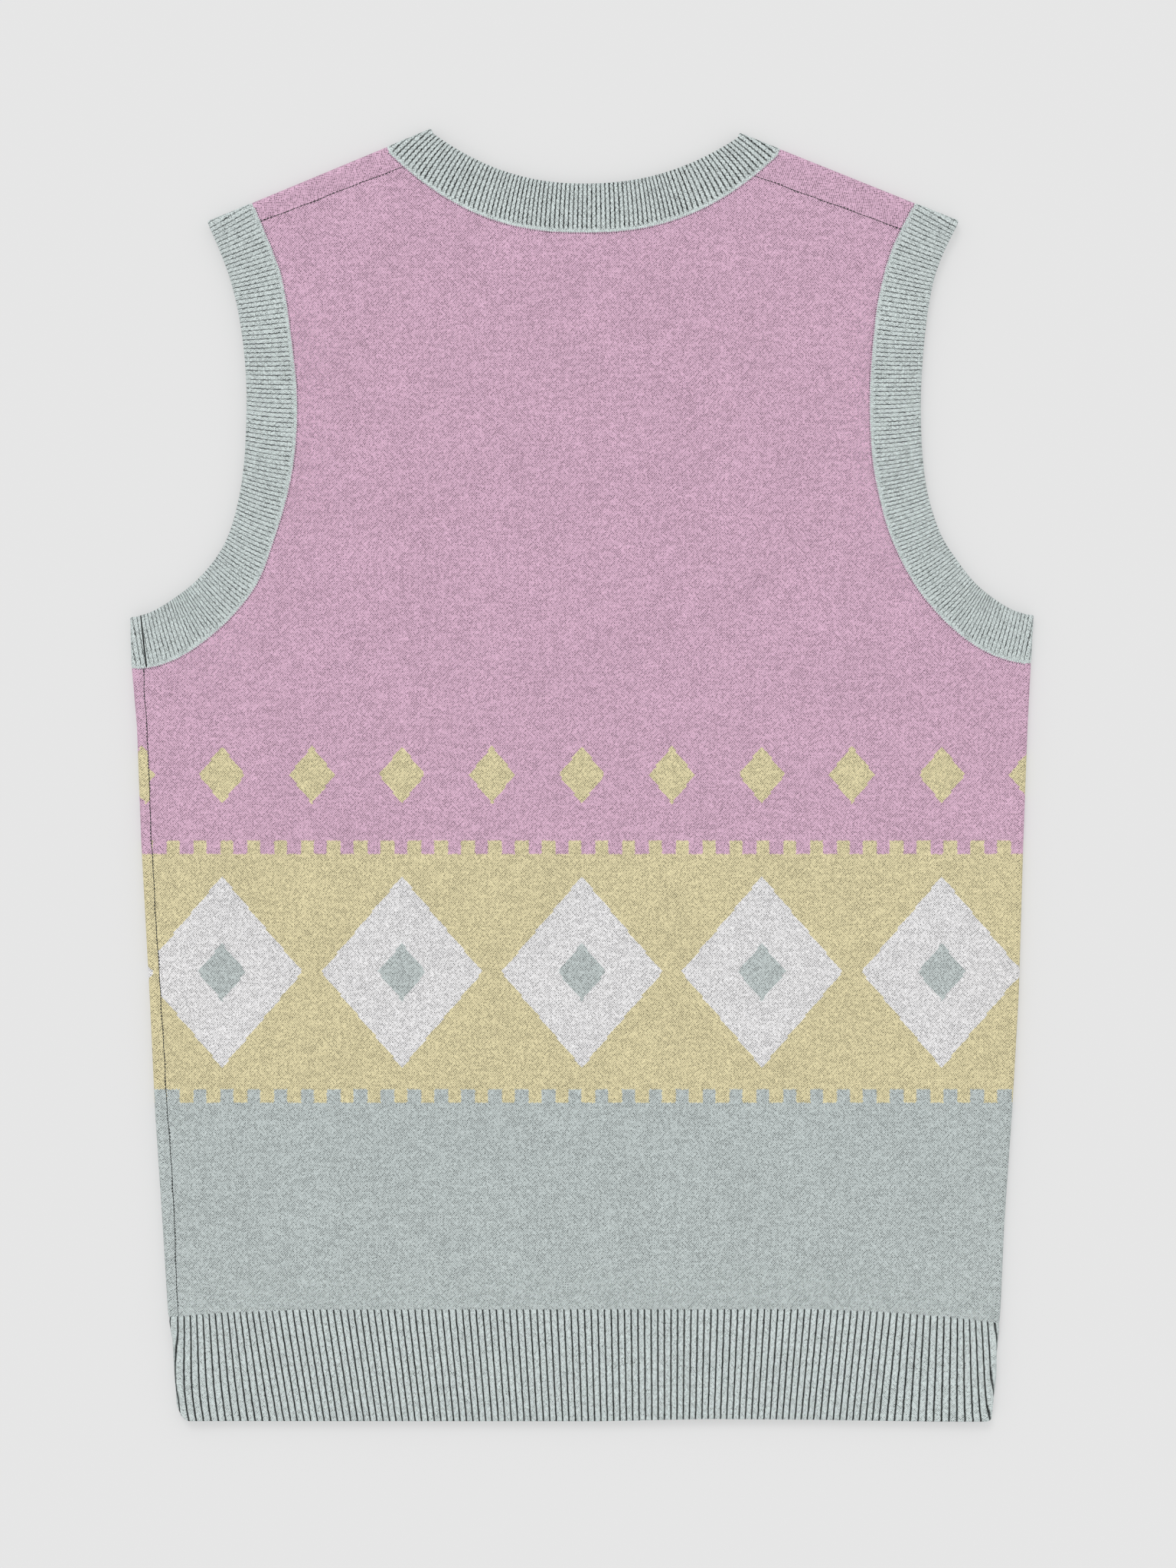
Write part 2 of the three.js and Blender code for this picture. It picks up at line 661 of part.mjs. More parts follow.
// A strip of columns: a finely ribbed outer face over a plainer inner face.
class RibbedStrip {
  constructor(rowShares, closed) {
    this.rowShares = rowShares;
    this.closed = closed;
    this.columns = [];
  }

  addColumn(at, layer, rise, inner) {
    this.columns.push({ at, layer, rise, inner });
  }

  geometry() {
    const rows = this.rowShares.length;
    const vertices = [];
    const innerStart = this.columns.length * rows;
    const innerColumns = [];
    for (const { at, layer, rise } of this.columns) {
      for (const share of this.rowShares) {
        const [x, up] = at(share);
        vertices.push(faceOf(clothPoint(x, up, layer), WALL / 2 + rise));
      }
    }
    this.columns.forEach(({ at, layer, inner }, i) => {
      if (inner) {
        innerColumns.push(i);
        for (const share of this.rowShares) {
          const [x, up] = at(share);
          vertices.push(faceOf(clothPoint(x, up, layer), -WALL / 2));
        }
      }
    });
    this.outer = (i, j) => (i % this.columns.length) * rows + j;
    this.inner = (k, j) => innerStart + (k % innerColumns.length) * rows + j;
    this.innerColumns = innerColumns;
    const faces = [...this.sheetFaces(), ...this.rimFaces(), ...this.endFaces()];
    return closedGeometry(vertices, faces);
  }

  sheetFaces() {
    const faces = [];
    const last = this.rowShares.length - 1;
    const outerSteps = this.columns.length - (this.closed ? 0 : 1);
    const innerSteps = this.innerColumns.length - (this.closed ? 0 : 1);
    for (let j = 0; j < last; j += 1) {
      for (let i = 0; i < outerSteps; i += 1) {
        const [a, b] = [this.outer(i, j), this.outer(i + 1, j)];
        const [d, c] = [this.outer(i, j + 1), this.outer(i + 1, j + 1)];
        faces.push([a, b, c], [a, c, d]);
      }
      for (let k = 0; k < innerSteps; k += 1) {
        const [a, b] = [this.inner(k, j), this.inner(k + 1, j)];
        const [d, c] = [this.inner(k, j + 1), this.inner(k + 1, j + 1)];
        faces.push([a, c, b], [a, d, c]);
      }
    }
    return faces;
  }

  rimFaces() {
    const faces = [];
    const last = this.rowShares.length - 1;
    const steps = this.innerColumns.length - (this.closed ? 0 : 1);
    for (const row of [0, last]) {
      const push = (a, b, c) => faces.push(row === 0 ? [a, b, c] : [b, a, c]);
      for (let k = 0; k < steps; k += 1) {
        const from = this.innerColumns[k];
        const wraps = k + 1 === this.innerColumns.length;
        const to = wraps ? this.innerColumns[0] + this.columns.length : this.innerColumns[k + 1];
        const middle = Math.floor((from + to) / 2);
        for (let i = from; i < to; i += 1) {
          const near = i < middle ? k : k + 1;
          push(this.outer(i + 1, row), this.outer(i, row), this.inner(near, row));
        }
        push(this.outer(middle, row), this.inner(k, row), this.inner(k + 1, row));
      }
    }
    return faces;
  }

  endFaces() {
    if (this.closed) {
      return [];
    }
    const faces = [];
    const end = this.columns.length - 1;
    const innerEnd = this.innerColumns.length - 1;
    for (let j = 0; j < this.rowShares.length - 1; j += 1) {
      faces.push([this.outer(0, j), this.outer(0, j + 1), this.inner(0, j + 1)]);
      faces.push([this.outer(0, j), this.inner(0, j + 1), this.inner(0, j)]);
      faces.push([this.outer(end, j + 1), this.outer(end, j), this.inner(innerEnd, j)]);
      faces.push([this.outer(end, j + 1), this.inner(innerEnd, j), this.inner(innerEnd, j + 1)]);
    }
    return faces;
  }
}

function hemFootUp(side, x, inset) {
  const { height, reach } = CORNER_LIFT[side];
  const rounding = height * Math.max(1 - inset / reach, 0) ** 2;
  return readTable(HEM_EDGE, 'across', x, 'up') + rounding;
}

// A hem column that keeps a fixed distance in from a side edge.
function hemEdgeColumn(side, insetAt) {
  const inwardX = side === 'left' ? 1 : -1;
  const xAt = (up) => sideX(side, up) + inwardX * insetAt(up);
  return (share) => {
    const top = hemSeamUp(xAt(57)) - SEAM_GAP;
    const foot = hemFootUp(side, xAt(0), insetAt(0) - WALL / 2);
    const up = THREE.MathUtils.lerp(top, foot, share);
    return [xAt(up), up];
  };
}

// A hem column that follows a rib, leaning and bowing as the ribs do.
function hemRibColumn(across, offset) {
  const lean = readTable(HEM_RIB_LEAN, 'across', across, 'lean');
  const bow = readTable(HEM_RIB_LEAN, 'across', across, 'bow');
  return (share) => {
    const x = across + offset + lean * share + bow * Math.sin(Math.PI * share);
    const side = x < 0 ? 'left' : 'right';
    const top = hemSeamUp(across + offset) - SEAM_GAP;
    const foot = hemFootUp(side, x, Math.abs(sideX(side, 0) - x) - WALL / 2);
    return [x, THREE.MathUtils.lerp(top, foot, share)];
  };
}

const HEM_ROWS = [0, 0.5, 1];

function backHemRib() {
  const strip = new RibbedStrip(HEM_ROWS, false);
  const seamInset = (up) => leftSeamX(up) - sideX('left', up) + SEAM_GAP / 2;
  strip.addColumn(hemEdgeColumn('left', seamInset), 1, 0, true);
  const pitch = (HEM_VALLEY_LAST - HEM_VALLEY_FIRST) / (HEM_VALLEYS - 1);
  for (let rib = 0; rib < HEM_VALLEYS; rib += 1) {
    const across = HEM_VALLEY_FIRST + rib * pitch;
    const inner = rib % RIBS_PER_INNER_STEP === 0 || rib === HEM_VALLEYS - 1;
    strip.addColumn(hemRibColumn(across, -HEM_VALLEY_HALF), 1, HEM_RIB_RISE, false);
    strip.addColumn(hemRibColumn(across, 0), 1, 0, inner);
    strip.addColumn(hemRibColumn(across, HEM_VALLEY_HALF), 1, HEM_RIB_RISE, false);
  }
  const insets = FOLD_INSETS.map((inset) => inset + WALL / 2);
  for (const inset of [...insets].reverse()) {
    strip.addColumn(hemEdgeColumn('right', () => inset), 1, 0, true);
  }
  for (const inset of insets.slice(1)) {
    strip.addColumn(hemEdgeColumn('right', () => inset), -1, 0, true);
  }
  const rightSeam = () => RIGHT_SEAM_INSET - SEAM_GAP / 2;
  strip.addColumn(hemEdgeColumn('right', rightSeam), -1, 0, true);
  return strip.geometry();
}

function frontHemRib() {
  const strip = new RibbedStrip(HEM_ROWS, false);
  const seamInset = (up) => leftSeamX(up) - sideX('left', up) - SEAM_GAP / 2;
  strip.addColumn(hemEdgeColumn('left', seamInset), 1, 0, true);
  const insets = FOLD_INSETS.map((inset) => inset + WALL / 2);
  for (const inset of [...insets].reverse()) {
    strip.addColumn(hemEdgeColumn('left', () => inset), 1, 0, true);
  }
  for (const inset of insets.slice(1)) {
    strip.addColumn(hemEdgeColumn('left', () => inset), -1, 0, true);
  }
  for (let i = 0; i < BODY_COLUMNS; i += 1) {
    const across = THREE.MathUtils.lerp(-200, 200, i / (BODY_COLUMNS - 1));
    strip.addColumn(hemRibColumn(across, 0), -1, 0, true);
  }
  const rightSeam = () => RIGHT_SEAM_INSET + SEAM_GAP / 2;
  strip.addColumn(hemEdgeColumn('right', rightSeam), -1, 0, true);
  return strip.geometry();
}

// A straight column from the seam to the band's free edge, starting just clear of the seam.
function bandColumn(seam, edge) {
  const start = lerpPoint(seam, edge, (SEAM_GAP * 1.1) / BAND_WIDTH);
  return (share) => lerpPoint(start, edge, share);
}

// Adds one half of a band, on one layer, between the bends at its two ends.
function addBandHalf(strip, half, layer) {
  const { seamBends, edgeBends, seamLine, edgeLine, ribs, edgeShare, plainSteps } = half;
  for (const k of [0, 1, 2, 3]) {
    strip.addColumn(bandColumn(seamBends[0][k], edgeBends[0][k]), layer, 0, true);
  }
  const steps = ribs > 0 ? ribs * 2 : plainSteps;
  for (let i = 1; i < steps; i += 1) {
    const share = i / steps;
    const seam = pointAlong(seamLine, share);
    const edge = pointAlong(edgeLine, edgeShare(share));
    const raised = ribs > 0 && i % 2 === 1;
    const inner = ribs === 0 || i % (RIBS_PER_INNER_STEP * 2) === 0;
    strip.addColumn(bandColumn(seam, edge), layer, raised ? BAND_RIB_RISE : 0, inner);
  }
  for (const k of [3, 2, 1]) {
    strip.addColumn(bandColumn(seamBends[1][k], edgeBends[1][k]), layer, 0, true);
  }
}

function armband(side) {
  const strip = new RibbedStrip([0, 1], true);
  const armhole = ARMHOLES[side];
  const ends = ARMHOLE_ENDS[side];
  const shoulderSeam = armhole.shoulderTop;
  const shoulderEdge = shoulderBend(side, ends.edgeAcross);
  const sideSeam = armhole.sideTop;
  const sideEdge = sideBend(side, ends.edgeUp);
  const edgeLine = smoothLine([shoulderEdge.at(-1), ...ARMBAND_EDGE[side], sideEdge.at(-1)]);
  const edgeShare = (share) => share + 0.048 * Math.sin(Math.PI * share) ** 2;
  const flatStart = shoulderSeam.at(-1);
  const flatEnd = sideSeam.at(-1);
  const backSeam = [flatStart, armhole.flapCorner, ...armhole.backEdge, flatEnd];
  const frontSeam = [flatStart, ...armhole.frontEdge, flatEnd];
  const backHalf = {
    seamBends: [shoulderSeam, sideSeam],
    edgeBends: [shoulderEdge, sideEdge],
    seamLine: withoutRepeats(backSeam),
    edgeLine,
    ribs: ARMBAND_RIBS,
    edgeShare,
  };
  const frontHalf = {
    seamBends: [sideSeam, shoulderSeam],
    edgeBends: [sideEdge, shoulderEdge],
    seamLine: withoutRepeats(frontSeam).reverse(),
    edgeLine: shiftedInward(edgeLine).reverse(),
    ribs: 0,
    plainSteps: ARMHOLE_ROWS,
    edgeShare: (share) => 1 - edgeShare(1 - share),
  };
  addBandHalf(strip, backHalf, 1);
  addBandHalf(strip, frontHalf, -1);
  return strip.geometry();
}

function withoutRepeats(line) {
  return line.filter(([x, y], i) => {
    const before = line[i - 1];
    return i === 0 || Math.hypot(x - before[0], y - before[1]) > 0.01;
  });
}

function neckband() {
  const strip = new RibbedStrip([0, 1], true);
  const leftEdge = shoulderBend('left', NECK_EDGE.tips.left);
  const rightEdge = shoulderBend('right', NECK_EDGE.tips.right);
  const backSeam = [
    NECK.leftTop.at(-1), NECK.flapLeft, ...NECK.backEdge, NECK.flapRight, NECK.rightTop.at(-1),
  ];
  const frontShape = { ...NECK_EDGE, middle: FRONT_NECK.middle };
  // Ribs crowd together towards the shoulders along the free edge.
  const crowded = (share) => {
    const fromMiddle = share * 2 - 1;
    const moved = fromMiddle + 0.27 * fromMiddle * (1 - fromMiddle * fromMiddle);
    return (moved + 1) / 2;
  };
  const backHalf = {
    seamBends: [NECK.leftTop, NECK.rightTop],
    edgeBends: [leftEdge, rightEdge],
    seamLine: backSeam,
    edgeLine: neckLine(NECK_EDGE),
    ribs: NECKBAND_RIBS,
    edgeShare: crowded,
  };
  const frontHalf = {
    seamBends: [NECK.rightTop, NECK.leftTop],
    edgeBends: [rightEdge, leftEdge],
    seamLine: [...NECK.frontEdge].reverse(),
    edgeLine: frontNeckLine(frontShape, FRONT_NECK.edgePoint).reverse(),
    ribs: 0,
    plainSteps: 24,
    edgeShare: (share) => share,
  };
  addBandHalf(strip, backHalf, 1);
  addBandHalf(strip, frontHalf, -1);
  return strip.geometry();
}

function knitMesh(name, geometry) {
  const material = new THREE.MeshStandardMaterial({ color: COLOURS[name], roughness: 0.95 });
  const mesh = new THREE.Mesh(geometry, material);
  mesh.name = name;
  return mesh;
}

const group = new THREE.Group();
group.name = 'knitted_vest';
group.add(knitMesh('back_panel', backPanel()));
group.add(knitMesh('front_panel', frontPanel()));
group.add(knitMesh('back_hem_rib', backHemRib()));
group.add(knitMesh('front_hem_rib', frontHemRib()));
group.add(knitMesh('neckband', neckband()));
group.add(knitMesh('armband_left', armband('left')));
group.add(knitMesh('armband_right', armband('right')));

// Sets the outline's middle over the origin and its underside on the surface.
const outline = new THREE.Box3().setFromObject(group);
const middle = outline.getCenter(new THREE.Vector3());
for (const mesh of group.children) {
  mesh.geometry.translate(-middle.x, -middle.y, -outline.min.z);
}

export default group;
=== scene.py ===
"""A knitted sleeveless vest, laid out flat with its back upwards on a pale floor."""

import logging
import math
from collections.abc import Callable
from dataclasses import dataclass, field
from enum import Enum

import bpy
import numpy as np
import numpy.typing as npt
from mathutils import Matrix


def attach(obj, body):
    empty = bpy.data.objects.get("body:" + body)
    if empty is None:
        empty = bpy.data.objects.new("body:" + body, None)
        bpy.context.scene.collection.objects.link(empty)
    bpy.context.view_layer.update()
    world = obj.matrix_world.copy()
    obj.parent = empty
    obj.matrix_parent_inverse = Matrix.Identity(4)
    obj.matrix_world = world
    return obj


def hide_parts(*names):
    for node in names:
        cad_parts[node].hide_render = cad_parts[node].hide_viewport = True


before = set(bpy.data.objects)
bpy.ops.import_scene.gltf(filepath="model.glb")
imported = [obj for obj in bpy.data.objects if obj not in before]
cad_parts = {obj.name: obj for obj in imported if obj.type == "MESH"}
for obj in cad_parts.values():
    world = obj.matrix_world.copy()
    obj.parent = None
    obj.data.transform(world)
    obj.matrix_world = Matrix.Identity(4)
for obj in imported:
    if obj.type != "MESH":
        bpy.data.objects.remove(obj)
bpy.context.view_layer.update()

logger = logging.getLogger("knitted_vest")

Array = npt.NDArray[np.float64]
Rows = tuple[tuple[float, ...], ...]
Socket = bpy.types.NodeSocket
Wire = Socket | float
Tint = tuple[float, float, float]

MILLIMETRE = 0.001
KNIT_MAP = "Knit"
WELD_STEPS = 100
WELD_SHIFT = 0.377
SHARP_ANGLE = 55
ROUND_FOOT = (1.0, 0.72, 0.45, 0.24, 0.1, 0.02, 0.0)


class Side(Enum):
    """The two sides of the vest as it is seen from above."""

    LEFT = 0
    RIGHT = 1

    @property
    def inward(self) -> float:
        """The direction across that leads to the vest's middle."""
        return 1.0 if self is Side.LEFT else -1.0


class Layer(Enum):
    """The two sheets of the laid-out vest."""

    UPPER = 1.0
    LOWER = -1.0


class Yarn(Enum):
    """The yarn colours, as linear red, green and blue."""

    PINK = (0.725, 0.468, 0.618)
    YELLOW = (0.780, 0.698, 0.425)
    WHITE = (0.865, 0.855, 0.860)
    GREEN = (0.556, 0.615, 0.608)


def points_along(line: Array, shares: Array) -> Array:
    """Finds points at shares of a line's length.

    Args:
        line: The line's points, one a row.
        shares: Shares of the whole length, from 0 to 1.

    Returns:
        One point a row for each share.
    """
    steps = np.hypot(*np.diff(line, axis=0).T)
    lengths = np.concatenate([[0.0], np.cumsum(steps)])
    target = np.asarray(shares, dtype=float) * lengths[-1]
    return np.stack([np.interp(target, lengths, line[:, k]) for k in (0, 1)], axis=-1)


def line_length(line: Array) -> float:
    """Adds up the steps of a line."""
    return float(np.hypot(*np.diff(line, axis=0).T).sum())


def smooth_line(knots: Array, divisions: int = 160) -> Array:
    """Draws a smooth curve through some knots.

    Args:
        knots: The points that the curve passes, one a row.
        divisions: How many steps the curve is given in.

    Returns:
        The curve's points, one a row.
    """
    ends = np.vstack([2 * knots[0] - knots[1], knots, 2 * knots[-1] - knots[-2]])
    steps = np.maximum(np.sum(np.diff(ends, axis=0) ** 2, axis=1) ** 0.25, 1e-4)
    place = np.linspace(0, len(knots) - 1, divisions + 1)
    k = np.minimum(place.astype(int), len(knots) - 2)
    t = (place - k)[:, None]
    before, start, end, after = (ends[k + n] for n in range(4))
    step_0, step_1, step_2 = (steps[k + n][:, None] for n in range(3))
    leave = (start - before) / step_0 - (end - before) / (step_0 + step_1)
    leave = (leave + (end - start) / step_1) * step_1
    arrive = (end - start) / step_1 - (after - start) / (step_1 + step_2)
    arrive = (arrive + (after - end) / step_2) * step_1
    return (
        (2 * t**3 - 3 * t**2 + 1) * start
        + (t**3 - 2 * t**2 + t) * leave
        + (3 * t**2 - 2 * t**3) * end
        + (t**3 - t**2) * arrive
    )


@dataclass(frozen=True)
class VestPattern:
    """The vest's outline, folds and seams, in millimetres.

    Places are given across from the middle and up from the hem's lower edge.
    """

    length: float = 675.8
    wall: float = 2.0
    fold_radius: float = 2.0
    fold_reach: float = 30.0
    layer_gap: float = 0.9
    soft_lift: float = 0.5
    ripple: float = 0.12
    underarm_top: float = 422.0
    right_seam_inset: float = 6.0
    front_armhole_shift: float = 5.0
    side_outline: Rows = (
        (0, -209.6, 213.6), (7, -211.2, 214.4), (23, -212.8, 216.2), (40, -213.4, 216.9),
        (57, -216.4, 218.8), (103, -219.2, 220.8), (163, -223.2, 225.0), (223, -226.0, 228.4),
        (303, -230.4, 230.8), (363, -232.6, 233.0), (394, -235.3, 234.6), (421, -236.0, 236.0),
    )
    left_seam_inset: Rows = (
        (0, 4.4), (58, 5.4), (128, 7.0), (255, 5.7), (383, 5.4), (395, 6.6),
    )
    hem_seam: Rows = (
        (-216, 54.8), (-184, 57.2), (-144, 58.6), (0, 58.8),
        (120, 59.0), (156, 57.6), (192, 54.8), (218, 51.6),
    )
    shoulder_tips: Rows = ((-195.8, 627.2), (197.0, 627.6))
    shoulder_slopes: tuple[float, float] = (0.4154, -0.4014)
    shoulder_seam_on_armhole: tuple[float, float] = (8.0, 12.5)
    shoulder_seam_on_neck: tuple[float, float] = (11.0, 17.0)
    side_seam_on_armhole: tuple[float, float] = (3.7, 3.0)
    armhole_seam_ends: Rows = ((-172.4, 393.6), (174.0, 396.2))
    armband_edge_ends: Rows = ((-195.8, 420.5), (197.0, 421.6))
    armhole_seam: tuple[Rows, Rows] = (
        (
            (-166.5, 622.8), (-161.6, 610.8), (-157.4, 598.8), (-154.4, 582.8), (-151.8, 562.8),
            (-149.6, 542.8), (-149.2, 522.8), (-150.8, 502.8), (-154.6, 482.8), (-160.6, 462.8),
            (-169.6, 438.8), (-181.4, 422.8), (-197.5, 408.0), (-212.2, 398.8), (-223.6, 394.8),
        ),
        (
            (167.0, 622.8), (161.6, 610.8), (158.0, 598.8), (154.6, 582.8), (152.4, 562.8),
            (151.0, 542.8), (150.9, 522.8), (152.2, 502.8), (155.8, 482.8), (161.6, 462.8),
            (173.4, 438.8), (185.8, 422.8), (198.5, 410.8), (210.4, 403.0), (221.0, 398.6),
        ),
    )
    armband_edge: tuple[Rows, Rows] = (
        (
            (-188.8, 610.8), (-184.4, 598.8), (-180.2, 582.8), (-177.0, 562.8), (-175.4, 542.8),
            (-175.4, 522.8), (-176.4, 502.8), (-179.2, 482.8), (-184.9, 462.8), (-191.6, 450.8),
            (-202.2, 438.8), (-212.4, 430.8), (-224.0, 423.6),
        ),
        (
            (189.0, 610.8), (184.6, 598.8), (181.2, 582.8), (178.8, 562.8), (177.4, 542.8),
            (177.2, 522.8), (178.2, 502.8), (181.2, 482.8), (188.0, 462.8), (195.6, 450.8),
            (205.0, 438.8), (214.6, 430.6), (224.2, 424.6),
        ),
    )
    neck_seam_tips: tuple[float, float] = (-102.0, 103.6)
    neck_edge_tips: tuple[float, float] = (-78.8, 82.4)
    neck_seam_low: tuple[float, float, float] = (1.0, 621.6, 2.4)
    neck_edge_low: tuple[float, float, float] = (1.5, 647.0, 2.2)
    front_neck_points: tuple[float, float] = (452.0, 500.0)
    front_neck_hollow: float = 9.0
    troughs: Rows = (
        (-168, 380, 85, 20, -38, 0.45), (172, 384, 85, 20, 38, 0.45),
        (-120, 560, 60, 18, 70, 0.35), (118, 566, 60, 18, -72, 0.35),
        (-30, 250, 150, 34, 84, 0.3), (95, 170, 120, 30, 98, 0.3),
    )

    @property
    def spare(self) -> float:
        """How much longer a quarter of a fold's bend is than its run across."""
        return self.fold_radius * (math.pi / 2 - 1)

    def side_x(self, side: Side, up: Array | float) -> Array:
        """Gives the outline's place across at some heights."""
        table = np.array(self.side_outline)
        return np.interp(up, table[:, 0], table[:, 1 + side.value])

    def apex_x(self, side: Side, up: Array | float) -> Array:
        """Gives the place across of the cloth's middle at a side fold."""
        return self.side_x(side, up) + side.inward * self.wall / 2

    def left_seam_x(self, up: Array | float) -> Array:
        """Gives the left side seam's place across at some heights."""
        table = np.array(self.left_seam_inset)
        return self.side_x(Side.LEFT, up) + np.interp(up, table[:, 0], table[:, 1])

    def hem_seam_up(self, across: Array | float) -> Array:
        """Gives the height of the seam above the hem rib."""
        table = np.array(self.hem_seam)
        return np.interp(across, table[:, 0], table[:, 1])

    def shoulder_inward(self, side: Side) -> Array:
        """Gives the direction that leads square away from a shoulder fold."""
        slope = self.shoulder_slopes[side.value]
        return np.array([slope, -1.0]) / math.hypot(1.0, slope)

    def shoulder_point(self, side: Side, across: Array | float, inset: Array | float) -> Array:
        """Finds the cloth's middle beside a shoulder fold.

        Args:
            side: The shoulder.
            across: Where on the fold's edge the point starts.
            inset: How far it lies inside the middle of the bend.

        Returns:
            The places across and up, in the last axis.
        """
        tip = self.shoulder_tips[side.value]
        across, inset = np.broadcast_arrays(np.asarray(across, float), np.asarray(inset, float))
        rise = tip[1] + self.shoulder_slopes[side.value] * (across - tip[0])
        depth = (inset + self.wall / 2)[..., None]
        return np.stack([across, rise], axis=-1) + self.shoulder_inward(side) * depth

    def side_point(self, side: Side, up: float, inset: Array | float) -> Array:
        """Finds the cloth's middle beside a side fold at one height."""
        across = self.apex_x(side, up) + side.inward * np.asarray(inset, float)
        return np.stack([across, np.full_like(across, up)], axis=-1)

    def around_side(self, flat_x: Array, up: Array) -> tuple[Array, Array]:
        """Wraps places on the flat pattern round the nearer side fold.

        Args:
            flat_x: Places across as if the cloth went on flat past the fold.
            up: Their heights.

        Returns:
            The places across, and 1 where the cloth stays on its sheet or -1 past the fold.
        """
        left = flat_x < 0
        inward = np.where(left, 1.0, -1.0)
        apex = np.where(left, self.apex_x(Side.LEFT, up), self.apex_x(Side.RIGHT, up))
        arc = (flat_x - apex) * inward + self.spare
        bend = np.clip(arc / self.fold_radius, -math.pi / 2, math.pi / 2)
        in_bend = np.abs(arc) < self.fold_radius * math.pi / 2
        inset = np.where(
            in_bend, self.fold_radius * (1 - np.cos(bend)), np.abs(arc) - self.spare
        )
        return apex + inward * inset, np.where(arc >= 0, 1.0, -1.0)

    def past_fold(self, side: Side, up: float, inset: float) -> float:
        """Gives the flat pattern's place across for a point that lies past a side fold."""
        return float(self.apex_x(side, up)) - side.inward * (inset + 2 * self.spare)

    def nearest_fold(self, across: Array, up: Array) -> tuple[Array, Array]:
        """Finds how far places lie inside the nearest fold.

        Args:
            across: Places across.
            up: Their heights.

        Returns:
            The distances, and the directions that lead away from the fold.
        """
        left = across < 0
        inward_x = np.where(left, 1.0, -1.0)
        level = np.minimum(up, self.underarm_top)
        apex = np.where(left, self.apex_x(Side.LEFT, level), self.apex_x(Side.RIGHT, level))
        from_side = (across - apex) * inward_x
        past = np.maximum(up - self.underarm_top, 0.0)
        from_side = np.where(past > 0, np.hypot(np.maximum(from_side, 0), past), from_side)
        tips = np.array(self.shoulder_tips)
        inwards = np.array([self.shoulder_inward(side) for side in Side])
        tip = np.where(left[..., None], tips[0], tips[1])
        shoulder = np.where(left[..., None], inwards[0], inwards[1])
        offset = np.stack([across, up], axis=-1) - tip
        from_shoulder = np.sum(offset * shoulder, axis=-1) - self.wall / 2
        by_side = from_side < from_shoulder
        inset = np.maximum(np.where(by_side, from_side, from_shoulder), 0.0)
        sideways = np.stack([inward_x, np.zeros_like(inward_x)], axis=-1)
        return inset, np.where(by_side[..., None], sideways, shoulder)

    def trough_depth(self, across: Array, up: Array) -> Array:
        """Gives how far the upper sheet settles in its faint troughs.

        Args:
            across: Places across.
            up: Their heights.

        Returns:
            The depths.
        """
        depth = np.zeros_like(across)
        for middle, height, long, wide, turn, deep in self.troughs:
            angle = math.radians(turn)
            dx, dy = across - middle, up - height
            along = (dx * math.cos(angle) + dy * math.sin(angle)) / long
            aside = (dy * math.cos(angle) - dx * math.sin(angle)) / wide
            depth += deep * np.exp(-(along**2) - aside**2)
        return np.minimum(depth, self.soft_lift)

    def ripples(self, across: Array, up: Array) -> Array:
        """Gives the small unevenness of the upper sheet."""
        first = np.sin(across / 23.0 + 1.7 * np.sin(up / 61.0))
        second = np.sin(up / 31.0 + 1.3 * np.sin(across / 47.0) + 0.8)
        return self.ripple * first * second

    def rest(self, across: Array, up: Array, layer: Array) -> tuple[Array, Array]:
        """Lays places of the cloth on their sheet.

        Args:
            across: Places across.
            up: Their heights.
            layer: 1 on the upper sheet, -1 on the lower.

        Returns:
            The points of the cloth's middle, and the way its outer face looks there.
        """
        inset, inward = self.nearest_fold(across, up)
        radius = self.fold_radius
        cosine = 1 - np.minimum(inset / radius, 1.0)
        sine = np.sqrt(np.maximum(1 - cosine**2, 0.0))
        share = np.clip((inset - radius) / (self.fold_reach - radius), 0.0, 1.0)
        fullness = (1 - share) ** 2 * (1 + 2 * share)
        low = self.wall * 1.5 + self.layer_gap + self.soft_lift - self.trough_depth(across, up)
        low = low + self.ripples(across, up)
        full = self.wall / 2 + 2 * radius
        upper = low + (full - low) * fullness
        bent = (inset <= radius) | (layer < 0)
        height = np.where(bent, self.wall / 2 + radius + layer * radius * sine, upper)
        place = np.stack([across, up - self.length / 2, height], axis=-1)
        facing = np.stack(
            [-cosine * inward[..., 0], -cosine * inward[..., 1], layer * sine], axis=-1
        )
        return place, facing

    def armhole_line(self, side: Side) -> Array:
        """Draws the back's armhole seam from the shoulder fold to the side fold.

        Args:
            side: The side of the vest.

        Returns:
            The line's points.
        """
        across, up = self.armhole_seam_ends[side.value]
        return smooth_line(np.vstack([
            self.shoulder_point(side, across, self.fold_radius),
            np.array(self.armhole_seam[side.value]),
            self.side_point(side, up, self.fold_radius),
        ]))

    def armband_line(self, side: Side) -> Array:
        """Draws the armband's free edge on the back.

        Args:
            side: The side of the vest.

        Returns:
            The line's points.
        """
        across, up = self.armband_edge_ends[side.value]
        return smooth_line(np.vstack([
            self.shoulder_point(side, across, self.fold_radius),
            np.array(self.armband_edge[side.value]),
            self.side_point(side, up, self.fold_radius),
        ]))

    def front_armhole(self, line: Array) -> Array:
        """Moves an armhole line in to where the front's is cut.

        Args:
            line: The back's line.

        Returns:
            The front's line.
        """
        steps = np.hypot(*np.diff(line, axis=0).T)
        share = np.concatenate([[0.0], np.cumsum(steps)]) / steps.sum()
        moved = line.copy()
        swell = np.sin(math.pi * share) ** 2
        moved[:, 0] -= np.sign(line[:, 0]) * self.front_armhole_shift * swell
        return moved

